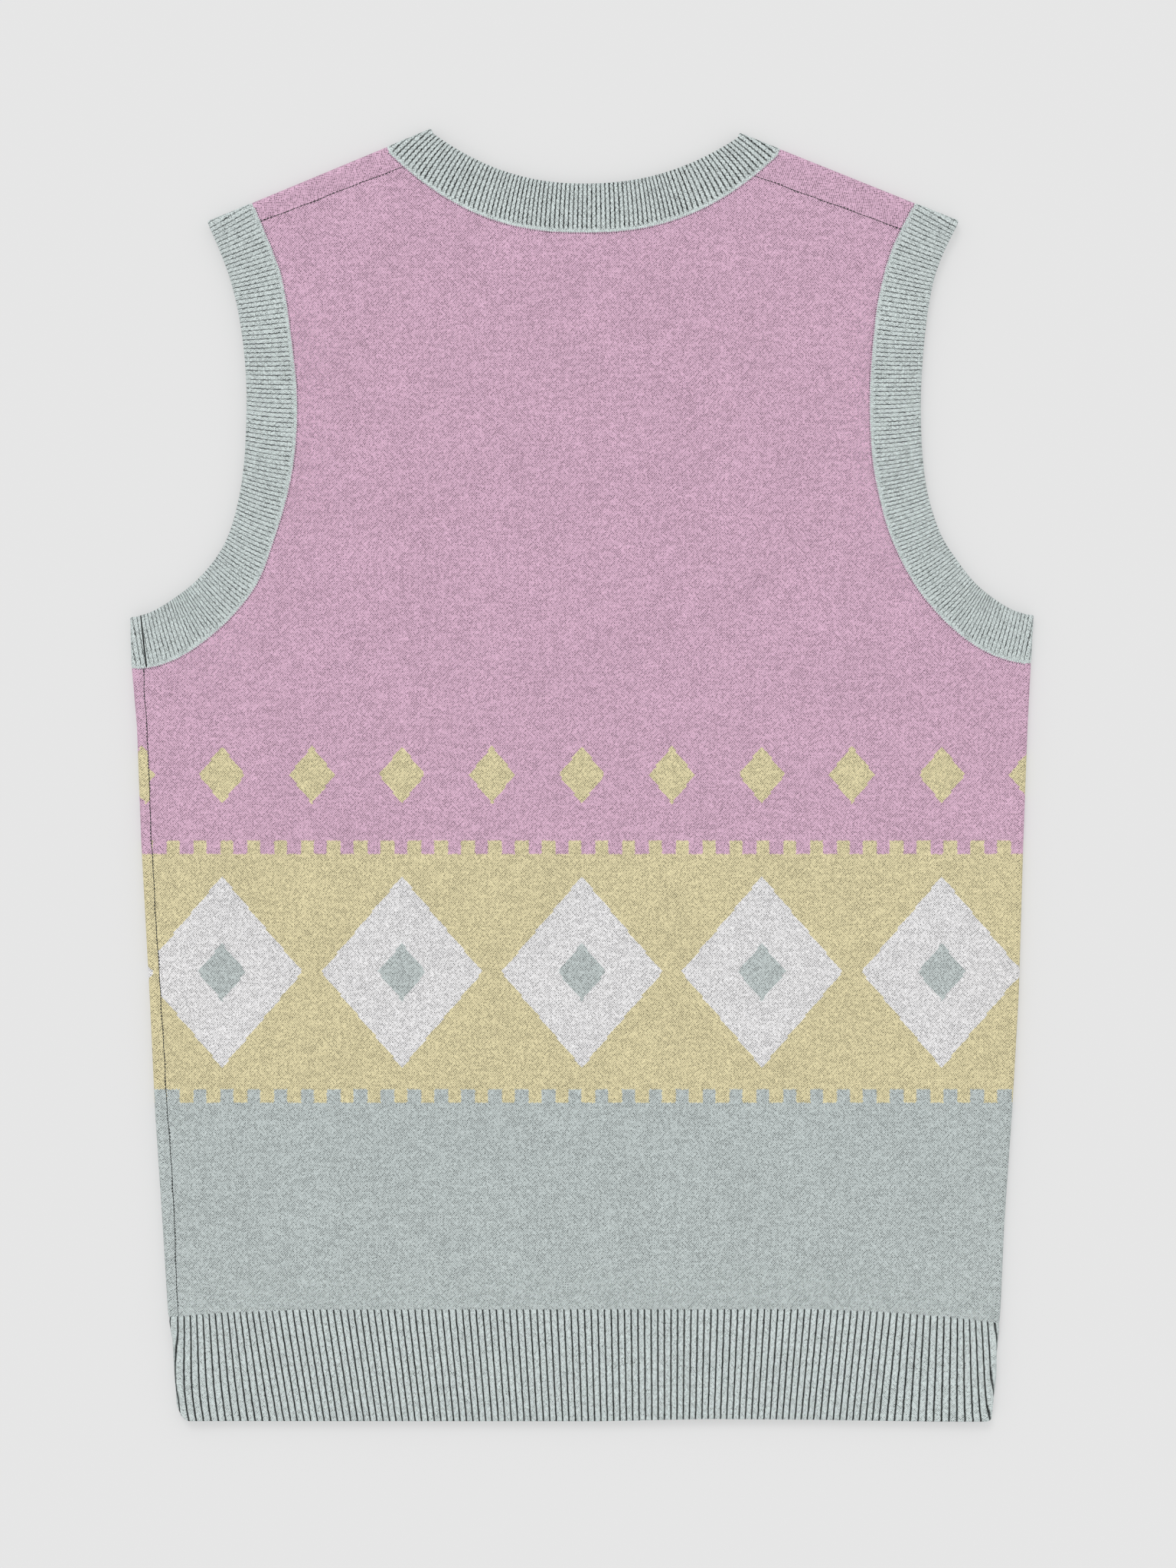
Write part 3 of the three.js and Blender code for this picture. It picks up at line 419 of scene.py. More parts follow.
    def neck_line(self, tips: tuple[float, float], low: tuple[float, float, float]) -> Array:
        """Draws a rounded back neckline.

        Args:
            tips: Where it leaves the two shoulder folds.
            low: The place across of its lowest point, that point's height, and its power.

        Returns:
            The line's points from left to right.
        """
        left = self.shoulder_point(Side.LEFT, tips[0], self.fold_radius)
        right = self.shoulder_point(Side.RIGHT, tips[1], self.fold_radius)
        across = np.linspace(left[0], right[0], 161)
        end = np.where((across < low[0])[:, None], left, right)
        share = np.abs((across - low[0]) / (end[:, 0] - low[0]))
        return np.stack([across, low[1] + (end[:, 1] - low[1]) * share ** low[2]], axis=-1)

    def front_neck_line(self, tips: tuple[float, float], point: float) -> Array:
        """Draws one line of the front's V-neck, from left to right.

        Args:
            tips: Where it leaves the two shoulder folds.
            point: The height of the V's point.

        Returns:
            The line's points.
        """
        left = self.shoulder_point(Side.LEFT, tips[0], self.fold_radius)
        right = self.shoulder_point(Side.RIGHT, tips[1], self.fold_radius)
        share = np.abs(np.linspace(-1, 1, 121))
        end = np.where((np.arange(121) < 60)[:, None], left, right)
        hollow = self.front_neck_hollow * np.sin(math.pi * share)
        across = 1.0 + (end[:, 0] - 1.0) * share + np.sign(end[:, 0]) * hollow
        return np.stack([across, point + (end[:, 1] - point) * share], axis=-1)


@dataclass
class ClothGrid:
    """One grid of cloth: where its points lie and how thick and raised they are."""

    across: Array
    up: Array
    layer: Array
    knit_u: Array
    knit_v: Array
    relief: Array
    fullness: Array


@dataclass
class KnitWall:
    """Grids of cloth, welded where they touch and closed into one wall."""

    pattern: VestPattern
    rise: float = 0.0
    grids: list[ClothGrid] = field(default_factory=list)

    def add(
        self,
        across: Array,
        up: Array,
        layer: Array | float,
        knit: tuple[Array, Array] | None = None,
        relief: Array | float = 0.0,
        fullness: Array | float = 1.0,
    ) -> None:
        """Adds one grid, rows by columns.

        Args:
            across: Places across.
            up: Heights above the hem.
            layer: 1 on the upper sheet, -1 on the lower.
            knit: The knit map's two coordinates, or the place itself where left out.
            relief: How far each point stands on its rib, from 0 in a valley to 1.
            fullness: The share of the wall's thickness that each point has.
        """
        shape = np.broadcast_shapes(np.shape(across), np.shape(up))
        knit_u, knit_v = knit if knit is not None else (across, up)
        values = (across, up, layer, knit_u, knit_v, relief, fullness)
        spread = [np.broadcast_to(np.asarray(v, float), shape).copy() for v in values]
        self.grids.append(ClothGrid(*spread))

    def faces_of(self, grid: ClothGrid, first: int) -> Array:
        """Lists the four corners of each face of a grid.

        Args:
            grid: The grid.
            first: The number of its first point.

        Returns:
            Four points a row.
        """
        rows, columns = grid.across.shape
        index = np.arange(rows * columns).reshape(rows, columns) + first
        corners = (index[:-1, :-1], index[:-1, 1:], index[1:, 1:], index[1:, :-1])
        return np.stack([c.ravel() for c in corners], axis=-1)

    def rim(self, faces: Array, welded: Array) -> Array:
        """Finds the edges that only one face has, as two corners a row.

        Args:
            faces: Four points a row.
            welded: Each point's number once those that touch are one.

        Returns:
            Two points a row.
        """
        starts, ends = faces.ravel(), np.roll(faces, -1, axis=1).ravel()
        a, b = welded[starts], welded[ends]
        real = a != b
        keys = np.minimum(a, b) * (welded.max() + 1) + np.maximum(a, b)
        _, place, counts = np.unique(keys[real], return_inverse=True, return_counts=True)
        single = counts[place] == 1
        return np.stack([starts[real][single], ends[real][single]], axis=-1)

    def build(self, name: str) -> bpy.types.Object:
        """Makes the closed mesh with its knit map.

        Args:
            name: The piece's name.

        Returns:
            The new object.
        """
        def gathered(key: str) -> Array:
            """Joins one kind of value of all the grids."""
            return np.concatenate([getattr(grid, key).ravel() for grid in self.grids])

        firsts = np.cumsum([0] + [grid.across.size for grid in self.grids])
        faces = np.concatenate([self.faces_of(g, int(n)) for g, n in zip(self.grids, firsts)])
        place, facing = self.pattern.rest(gathered("across"), gathered("up"), gathered("layer"))
        count = len(place)
        half = self.pattern.wall / 2
        lowered = gathered("relief") - (1 - facing[:, 2]) / 2
        outer = gathered("fullness") * (half + self.rise * lowered)
        inner = -gathered("fullness") * half
        points = np.concatenate([place + facing * outer[:, None], place + facing * inner[:, None]])
        keys = np.floor(points * WELD_STEPS + WELD_SHIFT).astype(np.int64)
        _, kept, welded = np.unique(keys, axis=0, return_index=True, return_inverse=True)
        welded = welded.ravel()
        rim = self.rim(faces, welded[:count])
        walls = np.stack([rim[:, 1], rim[:, 0], rim[:, 0] + count, rim[:, 1] + count], axis=-1)
        corners = np.concatenate([faces, faces[:, ::-1] + count, walls])
        vertices = points[kept]
        at = vertices[welded[corners]]
        volume = np.einsum("ij,ij->", at[:, 0], np.cross(at[:, 1], at[:, 2]))
        volume += np.einsum("ij,ij->", at[:, 0], np.cross(at[:, 2], at[:, 3]))
        if volume < 0:
            corners = corners[:, ::-1]
        knit = np.stack([gathered("knit_u"), gathered("knit_v")], axis=-1)
        return mesh_object(name, vertices, welded[corners], knit[corners % count])


def mesh_object(name: str, vertices: Array, faces: Array, knit: Array) -> bpy.types.Object:
    """Makes an object from corners in fours, leaving out what has no area.

    Args:
        name: The object's name.
        vertices: Its points in millimetres.
        faces: Four vertices a face, some of them the same.
        knit: The knit map at each of these corners.

    Returns:
        The new object.
    """
    loops: list[tuple[int, ...]] = []
    places: list[tuple[float, float]] = []
    differs = faces != np.roll(faces, 1, axis=1)
    for face, real, spots in zip(faces.tolist(), differs.tolist(), knit.tolist()):
        corners = [k for k in range(4) if real[k]]
        if len({face[k] for k in corners}) == len(corners) >= 3:
            loops.append(tuple(face[k] for k in corners))
            places.extend(spots[k] for k in corners)
    mesh = bpy.data.meshes.new(name)
    mesh.from_pydata((vertices * MILLIMETRE).tolist(), [], loops)
    layer = mesh.uv_layers.new(name=KNIT_MAP)
    layer.data.foreach_set("uv", np.array(places, dtype=np.float32).ravel())
    mesh.shade_smooth()
    mesh.set_sharp_from_angle(angle=math.radians(SHARP_ANGLE))
    mesh.update()
    piece = bpy.data.objects.new(name, mesh)
    bpy.context.scene.collection.objects.link(piece)
    return piece


class NodeSketch:
    """Wires the nodes of one material together."""

    def __init__(self, name: str) -> None:
        """Starts an empty material with a shader and an output.

        Args:
            name: The material's name.
        """
        self.material = bpy.data.materials.new(name)
        self.material.use_nodes = True
        self.nodes = self.material.node_tree.nodes
        self.links = self.material.node_tree.links
        self.nodes.clear()
        output = self.nodes.new("ShaderNodeOutputMaterial")
        self.shader = self.nodes.new("ShaderNodeBsdfPrincipled")
        self.links.new(self.shader.outputs["BSDF"], output.inputs["Surface"])

    def put(self, value: Wire, socket: Socket) -> None:
        """Gives a socket a number or a link.

        Args:
            value: The number, or the socket to link from.
            socket: The socket that takes it.
        """
        if isinstance(value, Socket):
            self.links.new(value, socket)
        else:
            socket.default_value = value

    def math(self, operation: str, *values: Wire) -> Socket:
        """Adds one sum of the named kind and returns its result.

        Args:
            operation: The kind of sum.
            values: What goes in.

        Returns:
            The result.
        """
        node = self.nodes.new("ShaderNodeMath")
        node.operation = operation
        for value, socket in zip(values, node.inputs):
            self.put(value, socket)
        return node.outputs[0]

    def band(self, value: Wire, low: float, high: float, start: float, end: float) -> Socket:
        """Maps a value from one range to another and holds it at the ends.

        Args:
            value: The value.
            low: The first range's start.
            high: The first range's end.
            start: The second range's start.
            end: The second range's end.

        Returns:
            The mapped value.
        """
        node = self.nodes.new("ShaderNodeMapRange")
        for number, socket in zip((value, low, high, start, end), node.inputs):
            self.put(number, socket)
        return node.outputs[0]

    def vector(self, x: Wire, y: Wire, z: Wire = 0.0) -> Socket:
        """Joins three values.

        Args:
            x: The first.
            y: The second.
            z: The third.

        Returns:
            The vector.
        """
        node = self.nodes.new("ShaderNodeCombineXYZ")
        for value, socket in zip((x, y, z), node.inputs):
            self.put(value, socket)
        return node.outputs[0]

    def knit_place(self) -> tuple[Socket, Socket]:
        """Reads the knit map's two coordinates.

        Returns:
            The place across and the place along.
        """
        source = self.nodes.new("ShaderNodeUVMap")
        source.uv_map = KNIT_MAP
        split = self.nodes.new("ShaderNodeSeparateXYZ")
        self.links.new(source.outputs[0], split.inputs[0])
        return split.outputs[0], split.outputs[1]

    def noise(self, place: Socket, scale: float, detail: float = 2.0) -> Socket:
        """Adds soft noise and returns its value.

        Args:
            place: Where it is read.
            scale: How fine it is.
            detail: How many finer layers it has.

        Returns:
            The noise, from 0 to 1.
        """
        node = self.nodes.new("ShaderNodeTexNoise")
        self.links.new(place, node.inputs["Vector"])
        node.inputs["Scale"].default_value = scale
        node.inputs["Detail"].default_value = detail
        return node.outputs[0]

    def speckle(self, place: Socket) -> Socket:
        """Adds a random value for each whole-numbered place.

        Args:
            place: Where it is read.

        Returns:
            The value, from 0 to 1.
        """
        node = self.nodes.new("ShaderNodeTexWhiteNoise")
        node.noise_dimensions = "3D"
        self.links.new(place, node.inputs["Vector"])
        return node.outputs["Value"]

    def mixed(self, share: Wire, first: Socket | Tint, second: Socket | Tint) -> Socket:
        """Mixes two colours.

        Args:
            share: How much of the second goes in.
            first: The first colour.
            second: The second colour.

        Returns:
            The mixed colour.
        """
        node = self.nodes.new("ShaderNodeMix")
        node.data_type = "RGBA"
        self.put(share, node.inputs[0])
        for colour, socket in ((first, node.inputs[6]), (second, node.inputs[7])):
            self.put(colour if isinstance(colour, Socket) else (*colour, 1.0), socket)
        return node.outputs[2]

    def shaded(self, colour: Socket | Tint, brightness: Socket) -> Socket:
        """Multiplies a colour by a brightness.

        Args:
            colour: The colour.
            brightness: The brightness.

        Returns:
            The shaded colour.
        """
        node = self.nodes.new("ShaderNodeMix")
        node.data_type = "RGBA"
        node.blend_type = "MULTIPLY"
        node.inputs[0].default_value = 1.0
        self.put(colour if isinstance(colour, Socket) else (*colour, 1.0), node.inputs[6])
        grey = self.nodes.new("ShaderNodeCombineColor")
        for socket in grey.inputs[:3]:
            self.links.new(brightness, socket)
        self.links.new(grey.outputs[0], node.inputs[7])
        return node.outputs[2]

    def finish(self, colour: Socket, height: Socket, depth: float, sheen: float) -> None:
        """Dresses the shader as soft yarn.

        Args:
            colour: The yarn's colour.
            height: The relief, from 0 to 1.
            depth: The relief's depth in millimetres.
            sheen: How much soft fibre catches the light.
        """
        bump = self.nodes.new("ShaderNodeBump")
        bump.inputs["Strength"].default_value = 1.0
        bump.inputs["Distance"].default_value = depth * MILLIMETRE
        self.links.new(height, bump.inputs["Height"])
        self.links.new(bump.outputs[0], self.shader.inputs["Normal"])
        self.links.new(colour, self.shader.inputs["Base Color"])
        rough = self.band(height, 0.0, 1.0, 1.0, 0.9)
        self.links.new(rough, self.shader.inputs["Roughness"])
        self.shader.inputs["Specular IOR Level"].default_value = 0.05
        self.shader.inputs["Sheen Weight"].default_value = sheen
        self.shader.inputs["Sheen Roughness"].default_value = 0.6


@dataclass(frozen=True)
class DottedKnit:
    """Fine knit with painted shade in the small hollows between its loops and painted highlights
    on the tips between them, on a diagonal lattice.

    The marks stand half a cell apart both ways, a little out of place, each as dark or as light as
    chance has it, and the painted shade of every fourth hollow is deeper.
    """

    cell: tuple[float, float] = (1.22, 1.28)
    spread: float = 0.13
    # least, deeper and chance set how dark the painted shade in the hollows is.
    least: float = 0.1
    deeper: float = 0.2
    chance: float = 1.0
    wobble: float = 0.2
    # How bright the painted highlights on the tips are.
    light: float = 0.3

    def marks(
        self, sketch: NodeSketch, across: Socket, along: Socket, shift: float
    ) -> tuple[Socket, list[Socket]]:
        """Draws one lattice of round marks.

        Args:
            sketch: The material's nodes.
            across: Millimetres across the knit.
            along: Millimetres along it.
            shift: How far the lattice is moved, in steps of it.

        Returns:
            How deep a place is in a mark, and the two numbers that name the mark.
        """
        wide = sketch.math("DIVIDE", across, self.cell[0])
        tall = sketch.math("DIVIDE", along, self.cell[1])
        numbers, squares = [], []
        for k, operation in enumerate(("ADD", "SUBTRACT")):
            uneven = sketch.noise(sketch.vector(across, along, 9.0 * k + shift), 0.75, 1.0)
            moved = sketch.band(uneven, 0.3, 0.7, shift - self.wobble, shift + self.wobble)
            place = sketch.math("ADD", sketch.math(operation, wide, tall), moved)
            number = sketch.math("ROUND", place)
            numbers.append(number)
            squares.append(sketch.math("POWER", sketch.math(
                "ABSOLUTE", sketch.math("SUBTRACT", place, number)), 2.0))
        distance = sketch.math("ADD", *squares)
        spot = sketch.math("EXPONENT", sketch.math("MULTIPLY", distance, -1 / self.spread))
        return spot, numbers

    def hollows(
        self, sketch: NodeSketch, across: Socket, along: Socket
    ) -> tuple[Socket, Socket, Socket, Socket]:
        """Draws the painted shade in the hollows.

        Args:
            sketch: The material's nodes.
            across: Millimetres across the knit.
            along: Millimetres along it.

        Returns:
            How deep a place is in a hollow, the darkness of that hollow's painted shade, and the
            two numbers that name it.
        """
        spot, numbers = self.marks(sketch, across, along, 0.0)
        odds = [sketch.math("PINGPONG", number, 1.0) for number in numbers]
        even = sketch.math("MULTIPLY", *(sketch.math("SUBTRACT", 1.0, odd) for odd in odds))
        chance = sketch.speckle(sketch.vector(*numbers))
        dark = sketch.math("MULTIPLY_ADD", even, self.deeper, self.least)
        dark = sketch.math("MULTIPLY_ADD", chance, self.chance, dark)
        return spot, dark, numbers[0], numbers[1]

    def tips(self, sketch: NodeSketch, across: Socket, along: Socket) -> Socket:
        """Draws the painted highlights on the tips between the hollows, as a brightness near 1.

        Args:
            sketch: The material's nodes.
            across: Millimetres across the knit.
            along: Millimetres along it.

        Returns:
            The brightness.
        """
        spot, numbers = self.marks(sketch, across, along, 0.5)
        chance = sketch.speckle(sketch.vector(*numbers, 5.0))
        return sketch.math("MULTIPLY_ADD", sketch.math(
            "MULTIPLY", spot, chance), self.light, 1.0)


@dataclass(frozen=True)
class YarnMarl:
    """The uneven tone of the yarn in broad clouds, and short streaks along the rows in the painted
    shade of the hollows.
    """

    streak: float = 0.35
    cloud: float = 0.03
    grain: float = 0.05

    def streaks(self, sketch: NodeSketch, across: Socket, along: Socket) -> Socket:
        """Gives a factor around 1 that makes the painted shade of some stretches of the hollows
        darker.

        Args:
            sketch: The material's nodes.
            across: Millimetres across the knit.
            along: Millimetres along it.

        Returns:
            The factor.
        """
        place = sketch.vector(
            sketch.math("MULTIPLY", across, 0.10), sketch.math("MULTIPLY", along, 0.42)
        )
        return sketch.band(
            sketch.noise(place, 1.0, 4.0), 0.34, 0.68, 1 - self.streak, 1 + self.streak
        )

    def tone(self, sketch: NodeSketch, across: Socket, along: Socket, cell: Socket) -> Socket:
        """Gives the yarn's own uneven brightness, near 1.

        Args:
            sketch: The material's nodes.
            across: Millimetres across the knit.
            along: Millimetres along it.
            cell: What names the stitch.

        Returns:
            The brightness.
        """
        cloud = sketch.band(
            sketch.noise(sketch.vector(across, along), 0.03, 3.0),
            0.3, 0.7, 1 - self.cloud, 1 + self.cloud,
        )
        grain = sketch.band(sketch.speckle(cell), 0.0, 1.0, 1 - self.grain, 1 + self.grain)
        return sketch.math("MULTIPLY", cloud, grain)


@dataclass(frozen=True)
class KnittedDesign:
    """The coloured design knitted in: borders, a row of large lozenges, a row of small ones."""

    lower_border: float = 170.0
    upper_border: float = 300.0
    tooth: float = 7.0
    large: tuple[float, float, float, float] = (94.0, 42.0, 50.0, 235.0)
    small: tuple[float, float, float, float] = (47.0, 12.0, 15.0, 338.0)
    core: float = 0.3

    def above(self, sketch: NodeSketch, across: Socket, up: Socket, level: float) -> Socket:
        """Gives 1 above a toothed border.

        Args:
            sketch: The material's nodes.
            across: The stitch's place across.
            up: Its height.
            level: The border's height.

        Returns:
            1 above it, 0 below.
        """
        tooth = sketch.math("FLOOR", sketch.math("DIVIDE", across, self.tooth))
        odd = sketch.math("ABSOLUTE", sketch.math("MODULO", tooth, 2.0))
        limit = sketch.math("MULTIPLY_ADD", odd, self.tooth, level - self.tooth / 2)
        return sketch.math("GREATER_THAN", up, limit)

    def lozenge(
        self, sketch: NodeSketch, across: Socket, up: Socket, size: tuple[float, ...]
    ) -> Socket:
        """Gives the distance from a repeated lozenge's middle, 1 at its edge.

        Args:
            sketch: The material's nodes.
            across: The stitch's place across.
            up: Its height.
            size: The repeat, the half width, the half height and the middle's height.

        Returns:
            The distance.
        """
        period, half_width, half_height, middle = size
        near = sketch.math("PINGPONG", sketch.math("ADD", across, period * 20), period / 2)
        aside = sketch.math("DIVIDE", near, half_width)
        over = sketch.math("ABSOLUTE", sketch.math("SUBTRACT", up, middle))
        return sketch.math("ADD", aside, sketch.math("DIVIDE", over, half_height))

    def colour(self, sketch: NodeSketch, across: Socket, up: Socket) -> Socket:
        """Picks the yarn for each stitch.

        Args:
            sketch: The material's nodes.
            across: The stitch's place across.
            up: The stitch's height.

        Returns:
            The colour.
        """
        large = self.lozenge(sketch, across, up, self.large)
        small = self.lozenge(sketch, across, up, self.small)
        middle = sketch.mixed(
            sketch.math("LESS_THAN", large, 1.0), Yarn.YELLOW.value, Yarn.WHITE.value
        )
        middle = sketch.mixed(
            sketch.math("LESS_THAN", large, self.core), middle, Yarn.GREEN.value
        )
        top = sketch.mixed(
            sketch.math("LESS_THAN", small, 1.0), Yarn.PINK.value, Yarn.YELLOW.value
        )
        low = self.above(sketch, across, up, self.lower_border)
        high = self.above(sketch, across, up, self.upper_border)
        return sketch.mixed(high, sketch.mixed(low, Yarn.GREEN.value, middle), top)


@dataclass(frozen=True)
class JerseyFinish:
    """Fine dotted knit in marled yarn, with the design knitted in; the dots are painted shade in
    the hollows between the loops, with painted highlights on the loop tips.
    """

    name: str
    knit: DottedKnit = DottedKnit()
    marl: YarnMarl = YarnMarl()
    design: KnittedDesign = KnittedDesign()
    stroke: float = 0.05
    # The darkest that the painted shade in the hollows gets.
    darkest: float = 0.92
    depth: float = 0.18

    def material(self) -> bpy.types.Material:
        """Makes the material.

        Returns:
            The material.
        """
        sketch = NodeSketch(self.name)
        across, up = sketch.knit_place()
        spot, dark, rising, falling = self.knit.hollows(sketch, across, up)
        half_wide, half_tall = self.knit.cell[0] / 2, self.knit.cell[1] / 2
        centre_x = sketch.math("MULTIPLY", sketch.math("ADD", rising, falling), half_wide)
        centre_up = sketch.math("MULTIPLY", sketch.math("SUBTRACT", rising, falling), half_tall)
        colour = self.design.colour(sketch, centre_x, centre_up)
        # Painted shade in the hollows, varied by the streaks.
        dark = sketch.math("MULTIPLY", dark, self.marl.streaks(sketch, across, up))
        shade = sketch.math("SUBTRACT", 1.0, sketch.math(
            "MULTIPLY", spot, sketch.math("MINIMUM", dark, self.darkest)))
        slant = sketch.math("SUBTRACT", sketch.math("DIVIDE", across, self.knit.cell[0]),
                            sketch.math("DIVIDE", up, self.knit.cell[1]))
        wave = sketch.math("COSINE", sketch.math("MULTIPLY", slant, 2 * math.pi))
        stroke = sketch.math("MULTIPLY_ADD", wave, -self.stroke, 1.0)
        # Painted highlights on the loop tips.
        stroke = sketch.math("MULTIPLY", stroke, self.knit.tips(sketch, across, up))
        cell = sketch.vector(rising, falling, 7.0)
        tone = sketch.math("MULTIPLY", stroke, self.marl.tone(sketch, across, up, cell))
        colour = sketch.shaded(colour, sketch.math("MULTIPLY", shade, tone))
        sketch.finish(colour, sketch.math("SUBTRACT", 1.0, spot), self.depth, 0.05)
        return sketch.material


@dataclass(frozen=True)
class RibValley:
    """How the painted shade in the valley between two ribs looks.

    Width is in millimetres; edge is how sharply it ends; dash is how much it breaks up from
    stitch to stitch; sway is how far it zigzags, and waver how far it wanders, as shares of
    the pitch.
    """

    width: float
    edge: float
    darkness: float
    dash: float
    sway: float
    fades: bool = True
    waver: float = 0.0


@dataclass(frozen=True)
class RibFinish:
    """Ribbed knit: light ribs with faint stitches, with painted shade in their hollows, along
    their middles and in the valley between, and painted highlights on the loop tips.
    """

    name: str
    pitch: float
    valley: RibValley
    # How dark the painted shade along each rib's middle is.
    middle: float
    knit: DottedKnit = DottedKnit((1.16, 1.3), 0.12, 0.0, 0.12, 0.85)
    marl: YarnMarl = YarnMarl(0.35, 0.025, 0.05)
    course: float = 1.3
    depth: float = 0.18
    bright: float = 1.15
    length: float = 26.0
    # The phases of the painted shadow of the band's own seam, where the rib starts and at its
    # length.
    own_seam: tuple[float, float] | None = None

    def valley_shade(self, sketch: NodeSketch, phase: Socket, along: Socket) -> Socket:
        """Gives how dark the painted shade in the valleys is at each place.

        Args:
            sketch: The material's nodes.
            phase: The place across, in ribs.
            along: Millimetres along the rib.

        Returns:
            The darkness, from 0 to 1.
        """
        valley = self.valley
        turn = sketch.math("MULTIPLY", along, math.pi / self.course)
        swayed = sketch.math("MULTIPLY_ADD", sketch.math("SINE", turn), valley.sway, phase)
        if valley.waver:
            place = sketch.vector(phase, sketch.math("MULTIPLY", along, 0.3))
            wander = sketch.band(
                sketch.noise(place, 0.8), 0.3, 0.7, -valley.waver, valley.waver
            )
            swayed = sketch.math("ADD", swayed, wander)
        number = sketch.math("ROUND", swayed)
        distance = sketch.math("ABSOLUTE", sketch.math("SUBTRACT", swayed, number))
        distance = sketch.math("MULTIPLY", distance, self.pitch / valley.width)
        falling = sketch.math("MULTIPLY", sketch.math("POWER", distance, valley.edge), -1.0)
        line = sketch.math("EXPONENT", falling)
        stitch = sketch.math("FLOOR", sketch.math("DIVIDE", along, self.course))
        chance = sketch.speckle(sketch.vector(number, stitch, 3.0))
        strength = sketch.band(chance, 0.0, 1.0, valley.darkness, valley.darkness - valley.dash)
        if valley.fades:
            near_seam = sketch.band(along, 0.9, 2.2, 0.0, 1.0)
            strength = sketch.math("MULTIPLY", strength, near_seam)
        return sketch.math("MULTIPLY", line, strength)

    def seam_shade(self, sketch: NodeSketch, phase: Socket, along: Socket) -> Socket:
        """Gives the painted shadow along the band's own seam, a dark line.

        Args:
            sketch: The material's nodes.
            phase: The place across, in ribs.
            along: Millimetres along the rib.

        Returns:
            The darkness, from 0 to 1.
        """
        low, high = self.own_seam
        line = sketch.math("MULTIPLY_ADD", along, (high - low) / self.length, low)
        distance = sketch.math("ABSOLUTE", sketch.math("SUBTRACT", phase, line))
        return sketch.band(sketch.math("MULTIPLY", distance, self.pitch), 0.28, 0.6, 0.98, 0.0)

    def material(self) -> bpy.types.Material:
        """Makes the material.

        Returns:
            The material.
        """
        sketch = NodeSketch(self.name)
        phase, along = sketch.knit_place()
        across = sketch.math("MULTIPLY", phase, self.pitch)
        # Painted shade in the stitch hollows, varied by the streaks.
        spot, dark, rising, falling = self.knit.hollows(sketch, across, along)
        dark = sketch.math("MULTIPLY", dark, self.marl.streaks(sketch, across, along))
        # Painted shade along each rib's middle, dotted from stitch to stitch.
        from_valley = sketch.math("ABSOLUTE", sketch.math(
            "SUBTRACT", sketch.math("FRACT", phase), 0.5))
        middle = sketch.band(
            sketch.math("MULTIPLY", from_valley, self.pitch), 0.0, 0.45, self.middle, 0.0
        )
        turn = sketch.math("COSINE", sketch.math("MULTIPLY", along, 2 * math.pi / self.course))
        middle = sketch.math("MULTIPLY", middle, sketch.math("MULTIPLY_ADD", turn, 0.5, 0.5))
        shade = sketch.math("SUBTRACT", 1.0, sketch.math("MULTIPLY", spot, dark))
        # Painted highlights on the loop tips.
        shade = sketch.math("MULTIPLY", shade, self.knit.tips(sketch, across, along))
        shade = sketch.math("MULTIPLY", shade, sketch.math("SUBTRACT", 1.0, middle))
        # Painted shade in the valleys and along the band's own seam.
        valley = self.valley_shade(sketch, phase, along)
        if self.own_seam is not None:
            valley = sketch.math("MAXIMUM", valley, self.seam_shade(sketch, phase, along))
        shade = sketch.math("MULTIPLY", shade, sketch.math("SUBTRACT", 1.0, valley))
        tone = self.marl.tone(sketch, across, along, sketch.vector(rising, falling, 7.0))
        tone = sketch.math("MULTIPLY", tone, self.bright)
        colour = sketch.shaded(Yarn.GREEN.value, sketch.math("MULTIPLY", shade, tone))
        height = sketch.math("SUBTRACT", 1.0, sketch.math("MAXIMUM", spot, middle))
        sketch.finish(colour, height, self.depth, 0.02)
        return sketch.material


@dataclass(frozen=True)
class ThreadFinish:
    """The yarn of the seams: twisted strands in one colour, made lighter or darker by a
    brightness; a very dark copy is painted shade.
    """

    name: str
    yarn: Yarn
    brightness: float = 1.0

    def material(self) -> bpy.types.Material:
        """Makes the material.

        Returns:
            The material.
        """
        sketch = NodeSketch(self.name)
        along, around = sketch.knit_place()
        twist = sketch.math("ADD", sketch.math("MULTIPLY", along, 9.0), around)
        strand = sketch.math("MULTIPLY_ADD", sketch.math("SINE", twist), 0.5, 0.5)
        place = sketch.vector(sketch.math("FLOOR", along), 3.0)
        shade = sketch.band(
            sketch.speckle(place), 0.0, 1.0, 0.86 * self.brightness, 1.06 * self.brightness
        )
        sketch.finish(sketch.shaded(self.yarn.value, shade), strand, 0.1, 0.08)
        return sketch.material


@dataclass(frozen=True)
class FloorFinish:
    """A plain pale studio floor, lit a little from within as a light table is."""

    name: str = "pale_floor"
    tone: float = 0.42
    glow: float = 0.375

    def material(self) -> bpy.types.Material:
        """Makes the material.

        Returns:
            The material.
        """
        sketch = NodeSketch(self.name)
        sketch.shader.inputs["Base Color"].default_value = (self.tone,) * 3 + (1.0,)
        sketch.shader.inputs["Emission Color"].default_value = (1.0, 1.0, 1.0, 1.0)
        sketch.shader.inputs["Emission Strength"].default_value = self.glow
        sketch.shader.inputs["Roughness"].default_value = 1.0
        sketch.shader.inputs["Specular IOR Level"].default_value = 0.0
        return sketch.material


def dress(piece: bpy.types.Object, material: bpy.types.Material) -> None:
    """Gives a piece its material and its body.

    Args:
        piece: The piece.
        material: Its material.
    """
    piece.data.materials.clear()
    piece.data.materials.append(material)
    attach(piece, "root")


def report(piece: bpy.types.Object) -> None:
    """Reports a finished piece."""
    piece.data.calc_loop_triangles()
    logger.info("%s: %d triangles", piece.name, len(piece.data.loop_triangles))


